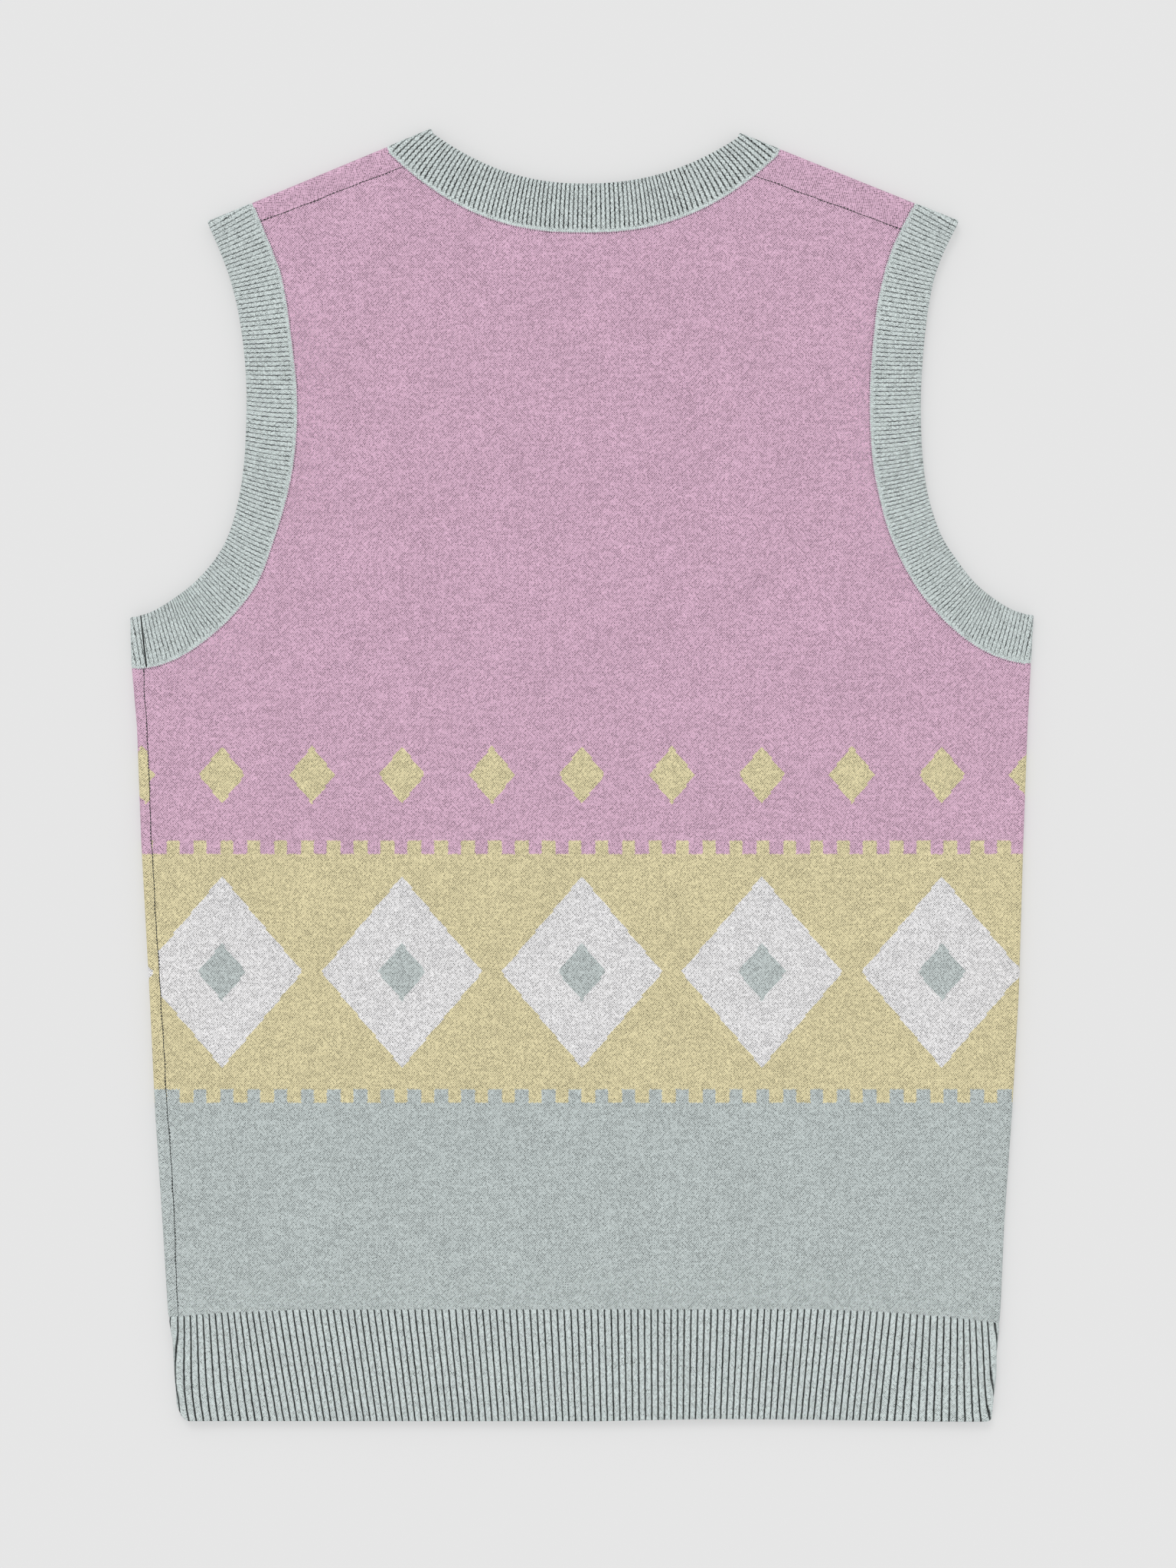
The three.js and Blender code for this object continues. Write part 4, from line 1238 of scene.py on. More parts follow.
@dataclass
class BodyPanels:
    """The two jersey panels, from the hem ribs to the shoulders."""

    pattern: VestPattern
    back_columns: tuple[int, int, int] = (26, 76, 26)
    front_columns: tuple[int, int, int] = (16, 48, 16)
    bend_columns: int = 12
    under_columns: int = 3
    lower_rows: int = 90
    upper_rows: int = 72
    seam_gap: float = 0.3

    def armhole_shares(self, side: Side) -> tuple[float, float, float, float]:
        """Gives where the pieces meet on an armhole seam.

        Args:
            side: The side of the vest.

        Returns:
            Shares of its length for the shoulder flap, the back's shoulder corner, the back's
            underarm corner and the front's underarm corner.
        """
        total = line_length(self.pattern.armhole_line(side))
        shoulder = self.pattern.shoulder_seam_on_armhole[side.value]
        underarm = total - self.pattern.side_seam_on_armhole[side.value]
        half = self.seam_gap / 2
        toward = -half if side is Side.LEFT else half
        places = (shoulder - half, shoulder + half, underarm + toward, underarm - toward)
        return tuple(place / total for place in places)

    def neck_shares(self) -> tuple[float, float, float, float]:
        """Gives where flaps and back meet on the neck seam, from left to right.

        Returns:
            Shares of its length for both edges of the left gap and of the right gap.
        """
        total = line_length(self.neck_seam())
        left, right = self.pattern.shoulder_seam_on_neck
        half = self.seam_gap / 2
        return (
            (left - half) / total, (left + half) / total,
            1 - (right + half) / total, 1 - (right - half) / total,
        )

    def neck_seam(self) -> Array:
        """Draws the back's neck seam."""
        return self.pattern.neck_line(self.pattern.neck_seam_tips, self.pattern.neck_seam_low)

    def lower_grid(
        self,
        wall: KnitWall,
        counts: tuple[int, int, int],
        controls: Callable[[float, float], Array],
        top: Array,
        base: Layer,
    ) -> Array:
        """Adds the grid between the hem seam and the underarms, round one side fold.

        Args:
            wall: The wall that takes the grid.
            counts: The columns between each two of the four controls.
            controls: Gives the four controls' flat places from the heights at both ends.
            top: The four controls' flat place and height in the top row.
            base: The sheet that the panel's flat part lies on.

        Returns:
            The top row's flat places and heights, one point a row.
        """
        fraction = np.concatenate(
            [n + np.arange(c) / c for n, c in enumerate(counts)] + [np.array([3.0])]
        )
        ends = [float(self.pattern.hem_seam_up(x)) for x in (-216.0, 218.0)]
        low_x = np.interp(fraction, range(4), controls(*ends))
        low_up = self.pattern.hem_seam_up(
            self.pattern.around_side(low_x, np.full_like(low_x, ends[0]))[0]
        )
        top_up = np.interp(fraction, range(4), top[:, 1])
        slack = top[:, 0] - controls(top[0, 1], top[3, 1])
        shares = np.linspace(0, 1, self.lower_rows + 1)
        up = low_up + (top_up - low_up) * shares[:, None]
        flat = np.array([
            np.interp(fraction, range(4), controls(row[0], row[-1]) + slack * share**4)
            for row, share in zip(up, shares)
        ])
        across, flip = self.pattern.around_side(flat, up)
        wall.add(across, up, base.value * flip, (flat, up))
        return np.stack([flat[-1], up[-1]], axis=-1)

    def upper_grid(
        self, wall: KnitWall, bottom: Array, top: Array, sides: tuple[Array, Array], base: Layer
    ) -> None:
        """Adds the grid between the underarms and the neck, keeping to its four edges.

        Args:
            wall: The wall that takes the grid.
            bottom: The lower edge, one point a row.
            top: The upper edge, with as many points.
            sides: The left and the right edge, from below.
            base: The sheet that it lies on.
        """
        u = np.linspace(0, 1, len(bottom))
        v = np.linspace(0, 1, len(sides[0]))[:, None]
        across = bottom[:, 0] + (top[:, 0] - bottom[:, 0]) * v
        rise = np.zeros_like(across)
        for side, column, weight in ((sides[0], 0, 1 - u), (sides[1], -1, u)):
            across = across + weight * (side[:, :1] - across[:, [column]])
            rise = rise + weight * (side[:, 1:] - side[0, 1]) / (side[-1, 1] - side[0, 1])
        wall.add(across, bottom[:, 1] + (top[:, 1] - bottom[:, 1]) * rise, base.value)

    def joined(self, *lines: Array) -> Array:
        """Joins lines that share their ends."""
        return np.vstack([lines[0], *(line[1:] for line in lines[1:])])

    def straight(self, start: Array, end: Array, steps: int) -> Array:
        """Divides a straight line evenly."""
        return start + (end - start) * np.linspace(0, 1, steps + 1)[:, None]

    def back(self) -> bpy.types.Object:
        """Builds the back panel.

        Returns:
            The back panel.
        """
        pattern, radius = self.pattern, self.pattern.fold_radius
        wall = KnitWall(pattern)
        lines = {side: pattern.armhole_line(side) for side in Side}
        _, back_l, under_l, _ = self.armhole_shares(Side.LEFT)
        _, back_r, under_r, _ = self.armhole_shares(Side.RIGHT)
        edge_l = points_along(lines[Side.LEFT], np.linspace(under_l, back_l, self.upper_rows + 1))
        edge_r = points_along(lines[Side.RIGHT], np.linspace(1.0, back_r, self.upper_rows + 1))
        half = self.seam_gap / 2
        under_inset = pattern.right_seam_inset - pattern.wall / 2 - half

        def controls(left_up: float, right_up: float) -> Array:
            """Gives the left seam, the right fold's two ends and the right seam below.

            Args:
                left_up: The height at the left end.
                right_up: The height at the right end.

            Returns:
                Their flat places.
            """
            apex = float(pattern.apex_x(Side.RIGHT, right_up))
            return np.array([
                float(pattern.left_seam_x(left_up)) + half,
                apex - radius,
                pattern.past_fold(Side.RIGHT, right_up, radius),
                pattern.past_fold(Side.RIGHT, right_up, under_inset),
            ])

        corner = points_along(pattern.front_armhole(lines[Side.RIGHT]), np.array([under_r]))[0]
        side_up = edge_r[0, 1]
        inset = float(pattern.apex_x(Side.RIGHT, corner[1])) - corner[0]
        top = np.array([
            edge_l[0],
            edge_r[0],
            [pattern.past_fold(Side.RIGHT, side_up, radius), side_up],
            [pattern.past_fold(Side.RIGHT, corner[1], inset), corner[1]],
        ])
        flat_count = sum(self.back_columns)
        counts = (flat_count, self.bend_columns, self.under_columns)
        row = self.lower_grid(wall, counts, controls, top, Layer.UPPER)
        _, neck_l, neck_r, _ = self.neck_shares()
        neck = points_along(
            self.neck_seam(), np.linspace(neck_l, neck_r, self.back_columns[1] + 1)
        )
        top_edge = self.joined(
            self.straight(edge_l[-1], neck[0], self.back_columns[0]),
            neck,
            self.straight(neck[-1], edge_r[-1], self.back_columns[2]),
        )
        self.upper_grid(wall, row[: flat_count + 1], top_edge, (edge_l, edge_r), Layer.UPPER)
        return wall.build("back_panel_knit")

    def flap(self, wall: KnitWall, side: Side, steps: int) -> None:
        """Adds the part of the front that passes over a shoulder to the back's seam.

        Args:
            wall: The front panel's wall.
            side: The shoulder.
            steps: How many columns it has.
        """
        pattern, radius = self.pattern, self.pattern.fold_radius
        armhole = pattern.armhole_seam_ends[side.value][0]
        ends = (armhole, pattern.neck_seam_tips[side.value])
        starts = ends if side is Side.LEFT else ends[::-1]
        across = np.linspace(*starts, steps + 1)
        angles = np.linspace(-math.pi / 2, math.pi / 2, self.bend_columns + 1)
        first = self.armhole_shares(side)[0]
        shares = self.neck_shares()
        neck_share = shares[0] if side is Side.LEFT else shares[3]
        corners = [
            points_along(pattern.armhole_line(side), np.array([first]))[0],
            points_along(self.neck_seam(), np.array([neck_share]))[0],
        ]
        corners = corners if side is Side.LEFT else corners[::-1]
        seam = self.straight(corners[0], corners[1], steps)
        start = pattern.shoulder_point(side, across, radius)
        outward = -pattern.shoulder_inward(side)
        places, layers, knits = [], [], []
        for angle in angles:
            inset = radius * (1 - math.cos(angle))
            places.append(pattern.shoulder_point(side, across, inset))
            layers.append(np.full(steps + 1, 1.0 if angle >= 0 else -1.0))
            knits.append(start + outward * radius * (angle + math.pi / 2))
        last = places[-1]
        for share in (0.34, 0.67, 1.0):
            places.append(last + (seam - last) * share)
            layers.append(np.ones(steps + 1))
            run = np.hypot(*(seam - last).T)[:, None] * share
            knits.append(start + outward * (radius * math.pi + run))
        place, knit = np.array(places), np.array(knits)
        wall.add(place[..., 0], place[..., 1], np.array(layers), (knit[..., 0], knit[..., 1]))

    def front(self) -> bpy.types.Object:
        """Builds the front panel with its V-neck and its shoulder flaps.

        Returns:
            The front panel.
        """
        pattern, radius = self.pattern, self.pattern.fold_radius
        wall = KnitWall(pattern)
        lines = {side: pattern.armhole_line(side) for side in Side}
        fronts = {side: pattern.front_armhole(line) for side, line in lines.items()}
        under_l = self.armhole_shares(Side.LEFT)[3]
        under_r = self.armhole_shares(Side.RIGHT)[3]
        rows = self.upper_rows
        edge_l = points_along(fronts[Side.LEFT], np.linspace(1.0, 0.0, rows + 1))
        edge_r = points_along(fronts[Side.RIGHT], np.linspace(under_r, 0.0, rows + 1))
        half = self.seam_gap / 2
        right_inset = pattern.right_seam_inset - pattern.wall / 2 + half

        def controls(left_up: float, right_up: float) -> Array:
            """Gives the left seam above, the left fold's two ends and the right seam.

            Args:
                left_up: The height at the left end.
                right_up: The height at the right end.

            Returns:
                Their flat places.
            """
            seam = float(pattern.left_seam_x(left_up)) - half
            inset = seam - float(pattern.apex_x(Side.LEFT, left_up))
            return np.array([
                pattern.past_fold(Side.LEFT, left_up, inset),
                pattern.past_fold(Side.LEFT, left_up, radius),
                float(pattern.apex_x(Side.LEFT, left_up)) + radius,
                float(pattern.apex_x(Side.RIGHT, right_up)) - right_inset,
            ])

        corner = points_along(lines[Side.LEFT], np.array([under_l]))[0]
        side_up = edge_l[0, 1]
        inset = corner[0] - float(pattern.apex_x(Side.LEFT, corner[1]))
        top = np.array([
            [pattern.past_fold(Side.LEFT, corner[1], inset), corner[1]],
            [pattern.past_fold(Side.LEFT, side_up, radius), side_up],
            edge_l[0],
            edge_r[0],
        ])
        flat_count = sum(self.front_columns)
        counts = (self.under_columns, self.bend_columns, flat_count)
        row = self.lower_grid(wall, counts, controls, top, Layer.LOWER)
        neck = points_along(
            pattern.front_neck_line(pattern.neck_seam_tips, pattern.front_neck_points[0]),
            np.linspace(0, 1, self.front_columns[1] + 1),
        )
        top_edge = self.joined(
            self.straight(edge_l[-1], neck[0], self.front_columns[0]),
            neck,
            self.straight(neck[-1], edge_r[-1], self.front_columns[2]),
        )
        bottom = row[-(flat_count + 1):]
        self.upper_grid(wall, bottom, top_edge, (edge_l, edge_r), Layer.LOWER)
        self.flap(wall, Side.LEFT, self.front_columns[0])
        self.flap(wall, Side.RIGHT, self.front_columns[2])
        return wall.build("front_panel_knit")

    def dress(self) -> list[bpy.types.Object]:
        """Returns:
            The two panels.
        """
        back, front = self.back(), self.front()
        fabric = JerseyFinish("marled_jersey").material()
        for piece, node in ((back, "back_panel"), (front, "front_panel")):
            dress(piece, fabric)
            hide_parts(node)
        return [back, front]


@dataclass
class HemRibs:
    """The two hem ribs: straight ribs that lean a little, over a rounded lower edge."""

    pattern: VestPattern
    depth: float = 58.0
    pitch: float = 3.487
    rise: float = 0.75
    valley: float = 0.35
    seam_gap: float = 0.04
    fine: tuple[float, ...] = (0.0, 0.06, 0.12, 0.26, 0.5, 0.74, 0.88, 0.94)
    plain: tuple[float, ...] = (0.0, 0.11, 0.5, 0.89)
    ribs: Rows = (
        (-1, -211.0, -209.0), (12, -168.8, -159.0), (24, -126.2, -117.1), (60, 1.3, 3.4),
        (72, 43.1, 43.2), (96, 126.8, 121.0), (106, 161.2, 155.1), (116, 196.2, 195.9),
        (121, 211.8, 216.8),
    )
    bow: tuple[float, float] = (2.0, 1.2)
    bow_reach: tuple[float, float] = (5.0, 2.0)
    bow_lean: float = 1.7
    edge: Rows = ((-204, 0.3), (8, 0.2), (66, 1.4), (120, 1.0), (185, 0.0), (214, 0.0))
    corner_oval: Rows = ((4.6, 7.0), (2.6, 2.6))
    ramp: float = 3.0
    rows: int = 18
    foot_start: float = 2.4

    def rib_x(self, phase: Array, share: Array) -> Array:
        """Gives a rib's flat place across, from the seam at 0 to its foot at 1.

        Args:
            phase: The places across, in ribs.
            share: How far down from the seam, from 0 to 1.

        Returns:
            The flat places across.
        """
        number, seam, foot = np.array(self.ribs).T
        held = np.clip(phase, number[0], number[-1])
        across = np.interp(held, number, seam)
        across = across + (np.interp(held, number, foot) - across) * share
        for bow, reach, last in zip(self.bow, self.bow_reach, (number[0], number[-1])):
            fade = np.exp(-np.abs(held - last) / reach)
            across = across - bow * fade * np.sin(math.pi * share**self.bow_lean)
        return across + (phase - held) * self.pitch

    def phase_at(self, flat_x: Array, share: Array) -> Array:
        """Finds the rib that passes a place.

        Args:
            flat_x: The flat places across.
            share: How far down from the seam, from 0 to 1.

        Returns:
            The places across, in ribs.
        """
        number, start, _ = self.ribs[0]
        phase = (flat_x - start) / self.pitch + number
        for _ in range(16):
            phase = phase - (self.rib_x(phase, share) - flat_x) / self.pitch
        return phase

    def foot_up(self, across: Array) -> Array:
        """Gives the height of the hem's lower edge, with its rounded corners.

        Args:
            across: Places across.

        Returns:
            The heights there.
        """
        table = np.array(self.edge)
        up = np.interp(across, table[:, 0], table[:, 1])
        for side, (wide, tall) in zip(Side, self.corner_oval):
            inset = (across - self.pattern.apex_x(side, 0.0)) * side.inward
            round_share = np.clip(1 - (inset + self.pattern.wall / 2) / wide, 0, 1)
            up = up + tall * (1 - np.sqrt(1 - round_share**2))
        return up

    def strip(
        self,
        name: str,
        limits: Callable[[Array], tuple[Array, Array]],
        offsets: tuple[float, ...],
    ) -> bpy.types.Object:
        """Builds one hem rib.

        Args:
            name: The piece's name.
            limits: Gives the flat places of both ends from the heights of the rows.
            offsets: The columns of one rib, as shares of its pitch.

        Returns:
            The new object.
        """
        foot = np.array(ROUND_FOOT)
        even = np.linspace(0, 1 - self.foot_start / self.depth, self.rows)
        share = np.concatenate([even, 1 - foot / self.depth])[:, None]
        distance = np.concatenate([np.full(self.rows, 1.0), foot])[:, None]
        row_up = self.depth * (1 - share)
        low, high = limits(row_up)
        first = math.floor(self.phase_at(low, share).min()) - 1
        last = math.ceil(self.phase_at(high, share).max()) + 1
        phase = np.add.outer(np.arange(first, last), np.array(offsets)).ravel()[None, :]
        flat = np.clip(self.rib_x(phase, share), low, high)
        up = np.broadcast_to(row_up, flat.shape)
        for _ in range(3):
            across, layer = self.pattern.around_side(flat, up)
            top = self.pattern.hem_seam_up(across) - self.seam_gap
            up = top + (self.foot_up(across) - top) * share
        real_phase = self.phase_at(flat, share)
        gap = np.abs(real_phase - np.round(real_phase)) * self.pitch
        relief = 1 - np.exp(-((gap / self.valley) ** 2))
        relief = relief * np.clip((self.depth - row_up) / self.ramp, 0, 1)
        fullness = np.sqrt(1 - (1 - distance) ** 2)
        wall = KnitWall(self.pattern, rise=self.rise)
        wall.add(across, up, layer, (real_phase, row_up), relief, fullness)
        return wall.build(name)

    def back(self) -> bpy.types.Object:
        """Builds the back hem rib, from the left seam to the right seam below.

        Returns:
            The back hem rib.
        """
        pattern = self.pattern

        def limits(up: Array) -> tuple[Array, Array]:
            """Gives the two seams' flat places.

            Args:
                up: The heights of the rows.

            Returns:
                The left seam's places and the right seam's.
            """
            inset = pattern.right_seam_inset - pattern.wall / 2 - self.seam_gap / 2
            right = pattern.apex_x(Side.RIGHT, up) + inset + 2 * pattern.spare
            return pattern.left_seam_x(up) + self.seam_gap / 2, right

        return self.strip("back_hem_rib_knit", limits, self.fine)

    def front(self) -> bpy.types.Object:
        """Builds the front hem rib, which goes on round the left side.

        Returns:
            The front hem rib.
        """
        pattern = self.pattern

        def limits(up: Array) -> tuple[Array, Array]:
            """Gives the two seams' flat places, going on past the left fold.

            Args:
                up: The heights of the rows.

            Returns:
                The right seam's places below and the left seam's.
            """
            inset = pattern.right_seam_inset - pattern.wall / 2 + self.seam_gap / 2
            seam = pattern.apex_x(Side.RIGHT, up) - inset
            apex = pattern.apex_x(Side.LEFT, up)
            low = apex - (seam - apex) - 2 * pattern.spare
            return low, pattern.left_seam_x(up) - self.seam_gap / 2

        return self.strip("front_hem_rib_knit", limits, self.plain)

    def dress(self) -> list[bpy.types.Object]:
        """Returns:
            The two hem ribs.
        """
        back, front = self.back(), self.front()
        # Painted shade in the valleys between the ribs, near black and narrow, and none along the
        # ribs' middles.
        valley = RibValley(0.45, 3.0, 1.0, 0.1, 0.01, fades=False, waver=0.035)
        fabric = RibFinish("hem_rib_knit", self.pitch, valley, 0.0, bright=1.14).material()
        for piece, node in ((back, "back_hem_rib"), (front, "front_hem_rib")):
            dress(piece, fabric)
            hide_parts(node)
        return [back, front]


@dataclass
class BandPath:
    """A band's way round its opening, counted in ribs.

    Each stretch adds its seam, its free edge, its sheet and the rib number at each point.
    """

    seam: list[Array] = field(default_factory=list)
    edge: list[Array] = field(default_factory=list)
    layer: list[Array] = field(default_factory=list)
    numbers: list[Array] = field(default_factory=list)

    def add(self, lines: tuple[Array, Array], layer: Array, numbers: Array) -> None:
        """Adds one stretch.

        Args:
            lines: Its seam and its free edge.
            layer: Its sheet at each point.
            numbers: The rib number at each point.
        """
        for store, values in zip(
            (self.seam, self.edge, self.layer, self.numbers), (*lines, layer, numbers)
        ):
            store.append(values)

    @property
    def first(self) -> float:
        """The rib number where the way starts."""
        return float(self.numbers[0][0])

    @property
    def ribs(self) -> int:
        """How many ribs there are all round."""
        return round(float(self.numbers[-1][-1]) - self.first)

    def at(self, place: Array, across_band: Array | float) -> tuple[Array, Array, Array]:
        """Finds places on the band.

        Args:
            place: How far round, in ribs.
            across_band: How far from the seam to the free edge, from 0 to 1.

        Returns:
            The places across, their heights and their sheets.
        """
        numbers = np.concatenate(self.numbers)
        round_place = self.first + np.mod(place - self.first, self.ribs)

        def read(values: Array) -> Array:
            """Reads one value between the points of the way."""
            return np.interp(round_place, numbers, values)

        seam, edge = np.concatenate(self.seam), np.concatenate(self.edge)
        spots = [
            read(seam[:, k]) + (read(edge[:, k]) - read(seam[:, k])) * across_band for k in (0, 1)
        ]
        layer = np.where(read(np.concatenate(self.layer)) >= 0, 1.0, -1.0)
        return spots[0], spots[1], layer

    def columns(self, fine: tuple[float, ...], plain: tuple[float, ...]) -> Array:
        """Lists the ribs' columns: fine ones where they show from above or round a fold.

        Args:
            fine: A rib's columns where it shows.
            plain: Its columns elsewhere.

        Returns:
            The columns' places, in ribs.
        """
        start = math.ceil(self.first)
        numbers = start + np.arange(self.ribs)
        shows = np.max([self.at(numbers + near, 0.5)[2] for near in (-2.0, 0.5, 3.0)], axis=0)
        columns = [n + np.array(fine if seen > 0 else plain) for n, seen in zip(numbers, shows)]
        return np.append(np.concatenate(columns), float(start + self.ribs))


@dataclass
class RibBand:
    """A ribbed band that runs all round an opening, over two folds."""

    pattern: VestPattern
    width: float = 26.0
    rise: float = 0.35
    start: float = 0.08
    ramp: float = 2.0
    rows: int = 13
    foot_start: float = 2.2
    bend_ribs: float = 3.0
    front_margin: float = 20.0
    fine: tuple[float, ...] = (0.0, 0.09, 0.2, 0.35, 0.5, 0.65, 0.8, 0.91)
    plain: tuple[float, ...] = (0.0, 0.2, 0.5, 0.8)

    def ribs_at(self, placing: Rows, share: Array) -> Array:
        """Gives the rib numbers at shares of the back's seam, going on evenly past its ends.

        Args:
            placing: The rib numbers at some shares.
            share: The shares.

        Returns:
            The rib numbers.
        """
        table = np.array(placing)
        slopes = np.diff(table[:, 1]) / np.diff(table[:, 0])
        inside = np.interp(share, table[:, 0], table[:, 1])
        return inside + np.minimum(share, 0) * slopes[0] + np.maximum(share - 1, 0) * slopes[-1]

    def ring(
        self,
        halves: tuple[tuple[Array, Array], tuple[Array, Array]],
        bends: tuple[Callable[[Array], tuple[Array, Array]], ...],
        placing: Rows,
        front_ribs: int,
    ) -> BandPath:
        """Lays a band's way round: over the back, a fold, the front and the other fold.

        Args:
            halves: The seam and free edge on the back, and those on the front coming back.
            bends: Gives the seam and the free edge round each fold from the insets.
            placing: The rib numbers at shares of the back's seam.
            front_ribs: About how many ribs the front has.

        Returns:
            The way.
        """
        share, turn = np.linspace(0, 1, 401), np.linspace(0, 1, 49)
        path = BandPath()
        numbers = self.ribs_at(placing, share)
        rest = 2 * self.bend_ribs + front_ribs
        total = round(float(numbers[-1] - numbers[0]) + rest)
        front = total - float(numbers[-1] - numbers[0]) - 2 * self.bend_ribs
        counts = (numbers[-1] - numbers[0], self.bend_ribs, front, self.bend_ribs)
        starts = float(numbers[0]) + np.cumsum([0.0, *counts])
        for k, layer in enumerate((Layer.UPPER, Layer.LOWER)):
            pair = tuple(points_along(line, share) for line in halves[k])
            along = numbers if layer is Layer.UPPER else starts[2] + share * front
            path.add(pair, np.full(401, layer.value), along)
            angle = layer.value * math.pi * (0.5 - turn)
            lines = bends[k](self.pattern.fold_radius * (1 - np.cos(angle)))
            along = starts[2 * k + 1] + turn * self.bend_ribs
            path.add(lines, np.where(angle >= 0, 1.0, -1.0), along)
        return path

    def build(self, name: str, path: BandPath, placing: Rows, slant: Rows) -> bpy.types.Object:
        """Builds a closed band from its path.

        Args:
            name: The piece's name.
            path: The way round.
            placing: The rib numbers at shares of the back's seam.
            slant: How far each rib's free end lies ahead of its seam end, in shares.

        Returns:
            The new object.
        """
        foot = np.array(ROUND_FOOT)
        even = np.linspace(self.width - self.start, self.foot_start, self.rows)
        from_edge = np.concatenate([even, foot])
        from_seam = (self.width - from_edge)[:, None]
        share = from_seam / self.width
        phase = path.columns(self.fine, self.plain)
        table = np.array(slant)
        foots = self.ribs_at(placing, table[:, 0])
        ahead = self.ribs_at(placing, table.sum(axis=1)) - foots
        still = (foots[-1] + self.front_margin, path.first + path.ribs - self.front_margin)
        lean = np.interp(
            phase, np.append(foots, still), np.append(ahead, (0.0, 0.0)), period=path.ribs
        )
        across, up, layer = path.at(phase + lean * share, share)
        fraction = phase - np.floor(phase)
        relief = (1 - np.abs(2 * fraction - 1) ** 3) * np.clip(from_seam / self.ramp, 0, 1)
        fullness = np.sqrt(1 - (1 - np.minimum(from_edge, 1.0)) ** 2)[:, None]
        wall = KnitWall(self.pattern, rise=self.rise)
        wall.add(across, up, layer, (phase, from_seam), relief, fullness)
        return wall.build(name)


@dataclass
class Armbands(RibBand):
    """The two armband ribs, left and right."""

    front_ribs: int = 116
    pitch: float = 2.4
    own_seam: tuple[float, float] = (112.9, 111.9)
    placing: tuple[Rows, Rows] = (
        ((0.0, 1.0), (0.25, 28.0), (0.5, 56.0), (0.75, 85.0), (1.0, 115.0)),
        ((0.0, 0.0), (0.25, 27.0), (0.5, 57.0), (0.75, 88.5), (1.0, 118.5)),
    )
    slant: Rows = (
        (0.0, 0.014), (0.16, 0.01), (0.34, 0.027), (0.5, 0.043),
        (0.66, 0.05), (0.82, 0.04), (0.9, 0.014), (1.0, 0.014),
    )

    def band(self, side: Side) -> bpy.types.Object:
        """Builds one armband.

        Args:
            side: The side of the vest.

        Returns:
            The armband.
        """
        pattern = self.pattern
        lines = (pattern.armhole_line(side), pattern.armband_line(side))
        fronts = tuple(pattern.front_armhole(line)[::-1] for line in lines)
        tips = (pattern.armhole_seam_ends[side.value], pattern.armband_edge_ends[side.value])
        placing = self.placing[side.value]
        bends = (
            lambda inset: tuple(pattern.side_point(side, up, inset) for _, up in tips),
            lambda inset: tuple(pattern.shoulder_point(side, x, inset) for x, _ in tips),
        )
        path = self.ring((lines, fronts), bends, placing, self.front_ribs)
        return self.build(f"armband_{side.name.lower()}_knit", path, placing, self.slant)

    def dress(self) -> list[bpy.types.Object]:
        """Returns:
            The two armbands.
        """
        pieces = []
        # Painted shade in the valleys and along the ribs' middles; the left band also has the
        # painted shadow of its own seam.
        valley = RibValley(0.31, 2.6, 1.0, 0.6, 0.055)
        for side, length, seam in zip(Side, (0.585, 0.580), (self.own_seam, None)):
            piece = self.band(side)
            name = f"armband_{side.name.lower()}"
            fabric = RibFinish(
                f"{name}_rib", self.pitch, valley, 0.2, bright=1.2, own_seam=seam
            )
            dress(piece, fabric.material())
            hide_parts(name)
            pieces.append(piece)
        return pieces


@dataclass
class Neckband(RibBand):
    """The neckband rib: rounded at the back, a V at the front."""

    front_ribs: int = 176
    pitch: float = 2.2
    placing: Rows = ((0.0, 0.5), (0.25, 21.0), (0.5, 44.2), (0.75, 67.0), (1.0, 86.3))
    slant: Rows = (
        (0.0, -0.041), (0.1, -0.044), (0.3, -0.034), (0.4, -0.023),
        (0.5, -0.002), (0.6, 0.02), (0.65, 0.026), (1.0, 0.03),
    )

    def bend_at(self, side: Side) -> Callable[[Array], tuple[Array, Array]]:
        """Gives the seam and the free edge round one shoulder fold."""
        pattern = self.pattern
        tips = (pattern.neck_seam_tips[side.value], pattern.neck_edge_tips[side.value])
        return lambda inset: tuple(pattern.shoulder_point(side, x, inset) for x in tips)

    def band(self) -> bpy.types.Object:
        """Builds the neckband.

        Returns:
            The neckband.
        """
        pattern = self.pattern
        tips = (pattern.neck_seam_tips, pattern.neck_edge_tips)
        lows = (pattern.neck_seam_low, pattern.neck_edge_low)
        lines = tuple(pattern.neck_line(tip, low) for tip, low in zip(tips, lows))
        fronts = tuple(
            pattern.front_neck_line(tip, point)[::-1]
            for tip, point in zip(tips, pattern.front_neck_points)
        )
        bends = (self.bend_at(Side.RIGHT), self.bend_at(Side.LEFT))
        path = self.ring((lines, fronts), bends, self.placing, self.front_ribs)
        return self.build("neckband_knit", path, self.placing, self.slant)

    def dress(self) -> list[bpy.types.Object]:
        """Returns:
            The neckband alone in a list.
        """
        piece = self.band()
        # Painted shade in the valleys and along the ribs' middles.
        valley = RibValley(0.42, 3.4, 1.0, 0.36, 0.05)
        fabric = RibFinish("neckband_rib", self.pitch, valley, 0.26, bright=1.27)
        dress(piece, fabric.material())
        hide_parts("neckband")
        return [piece]


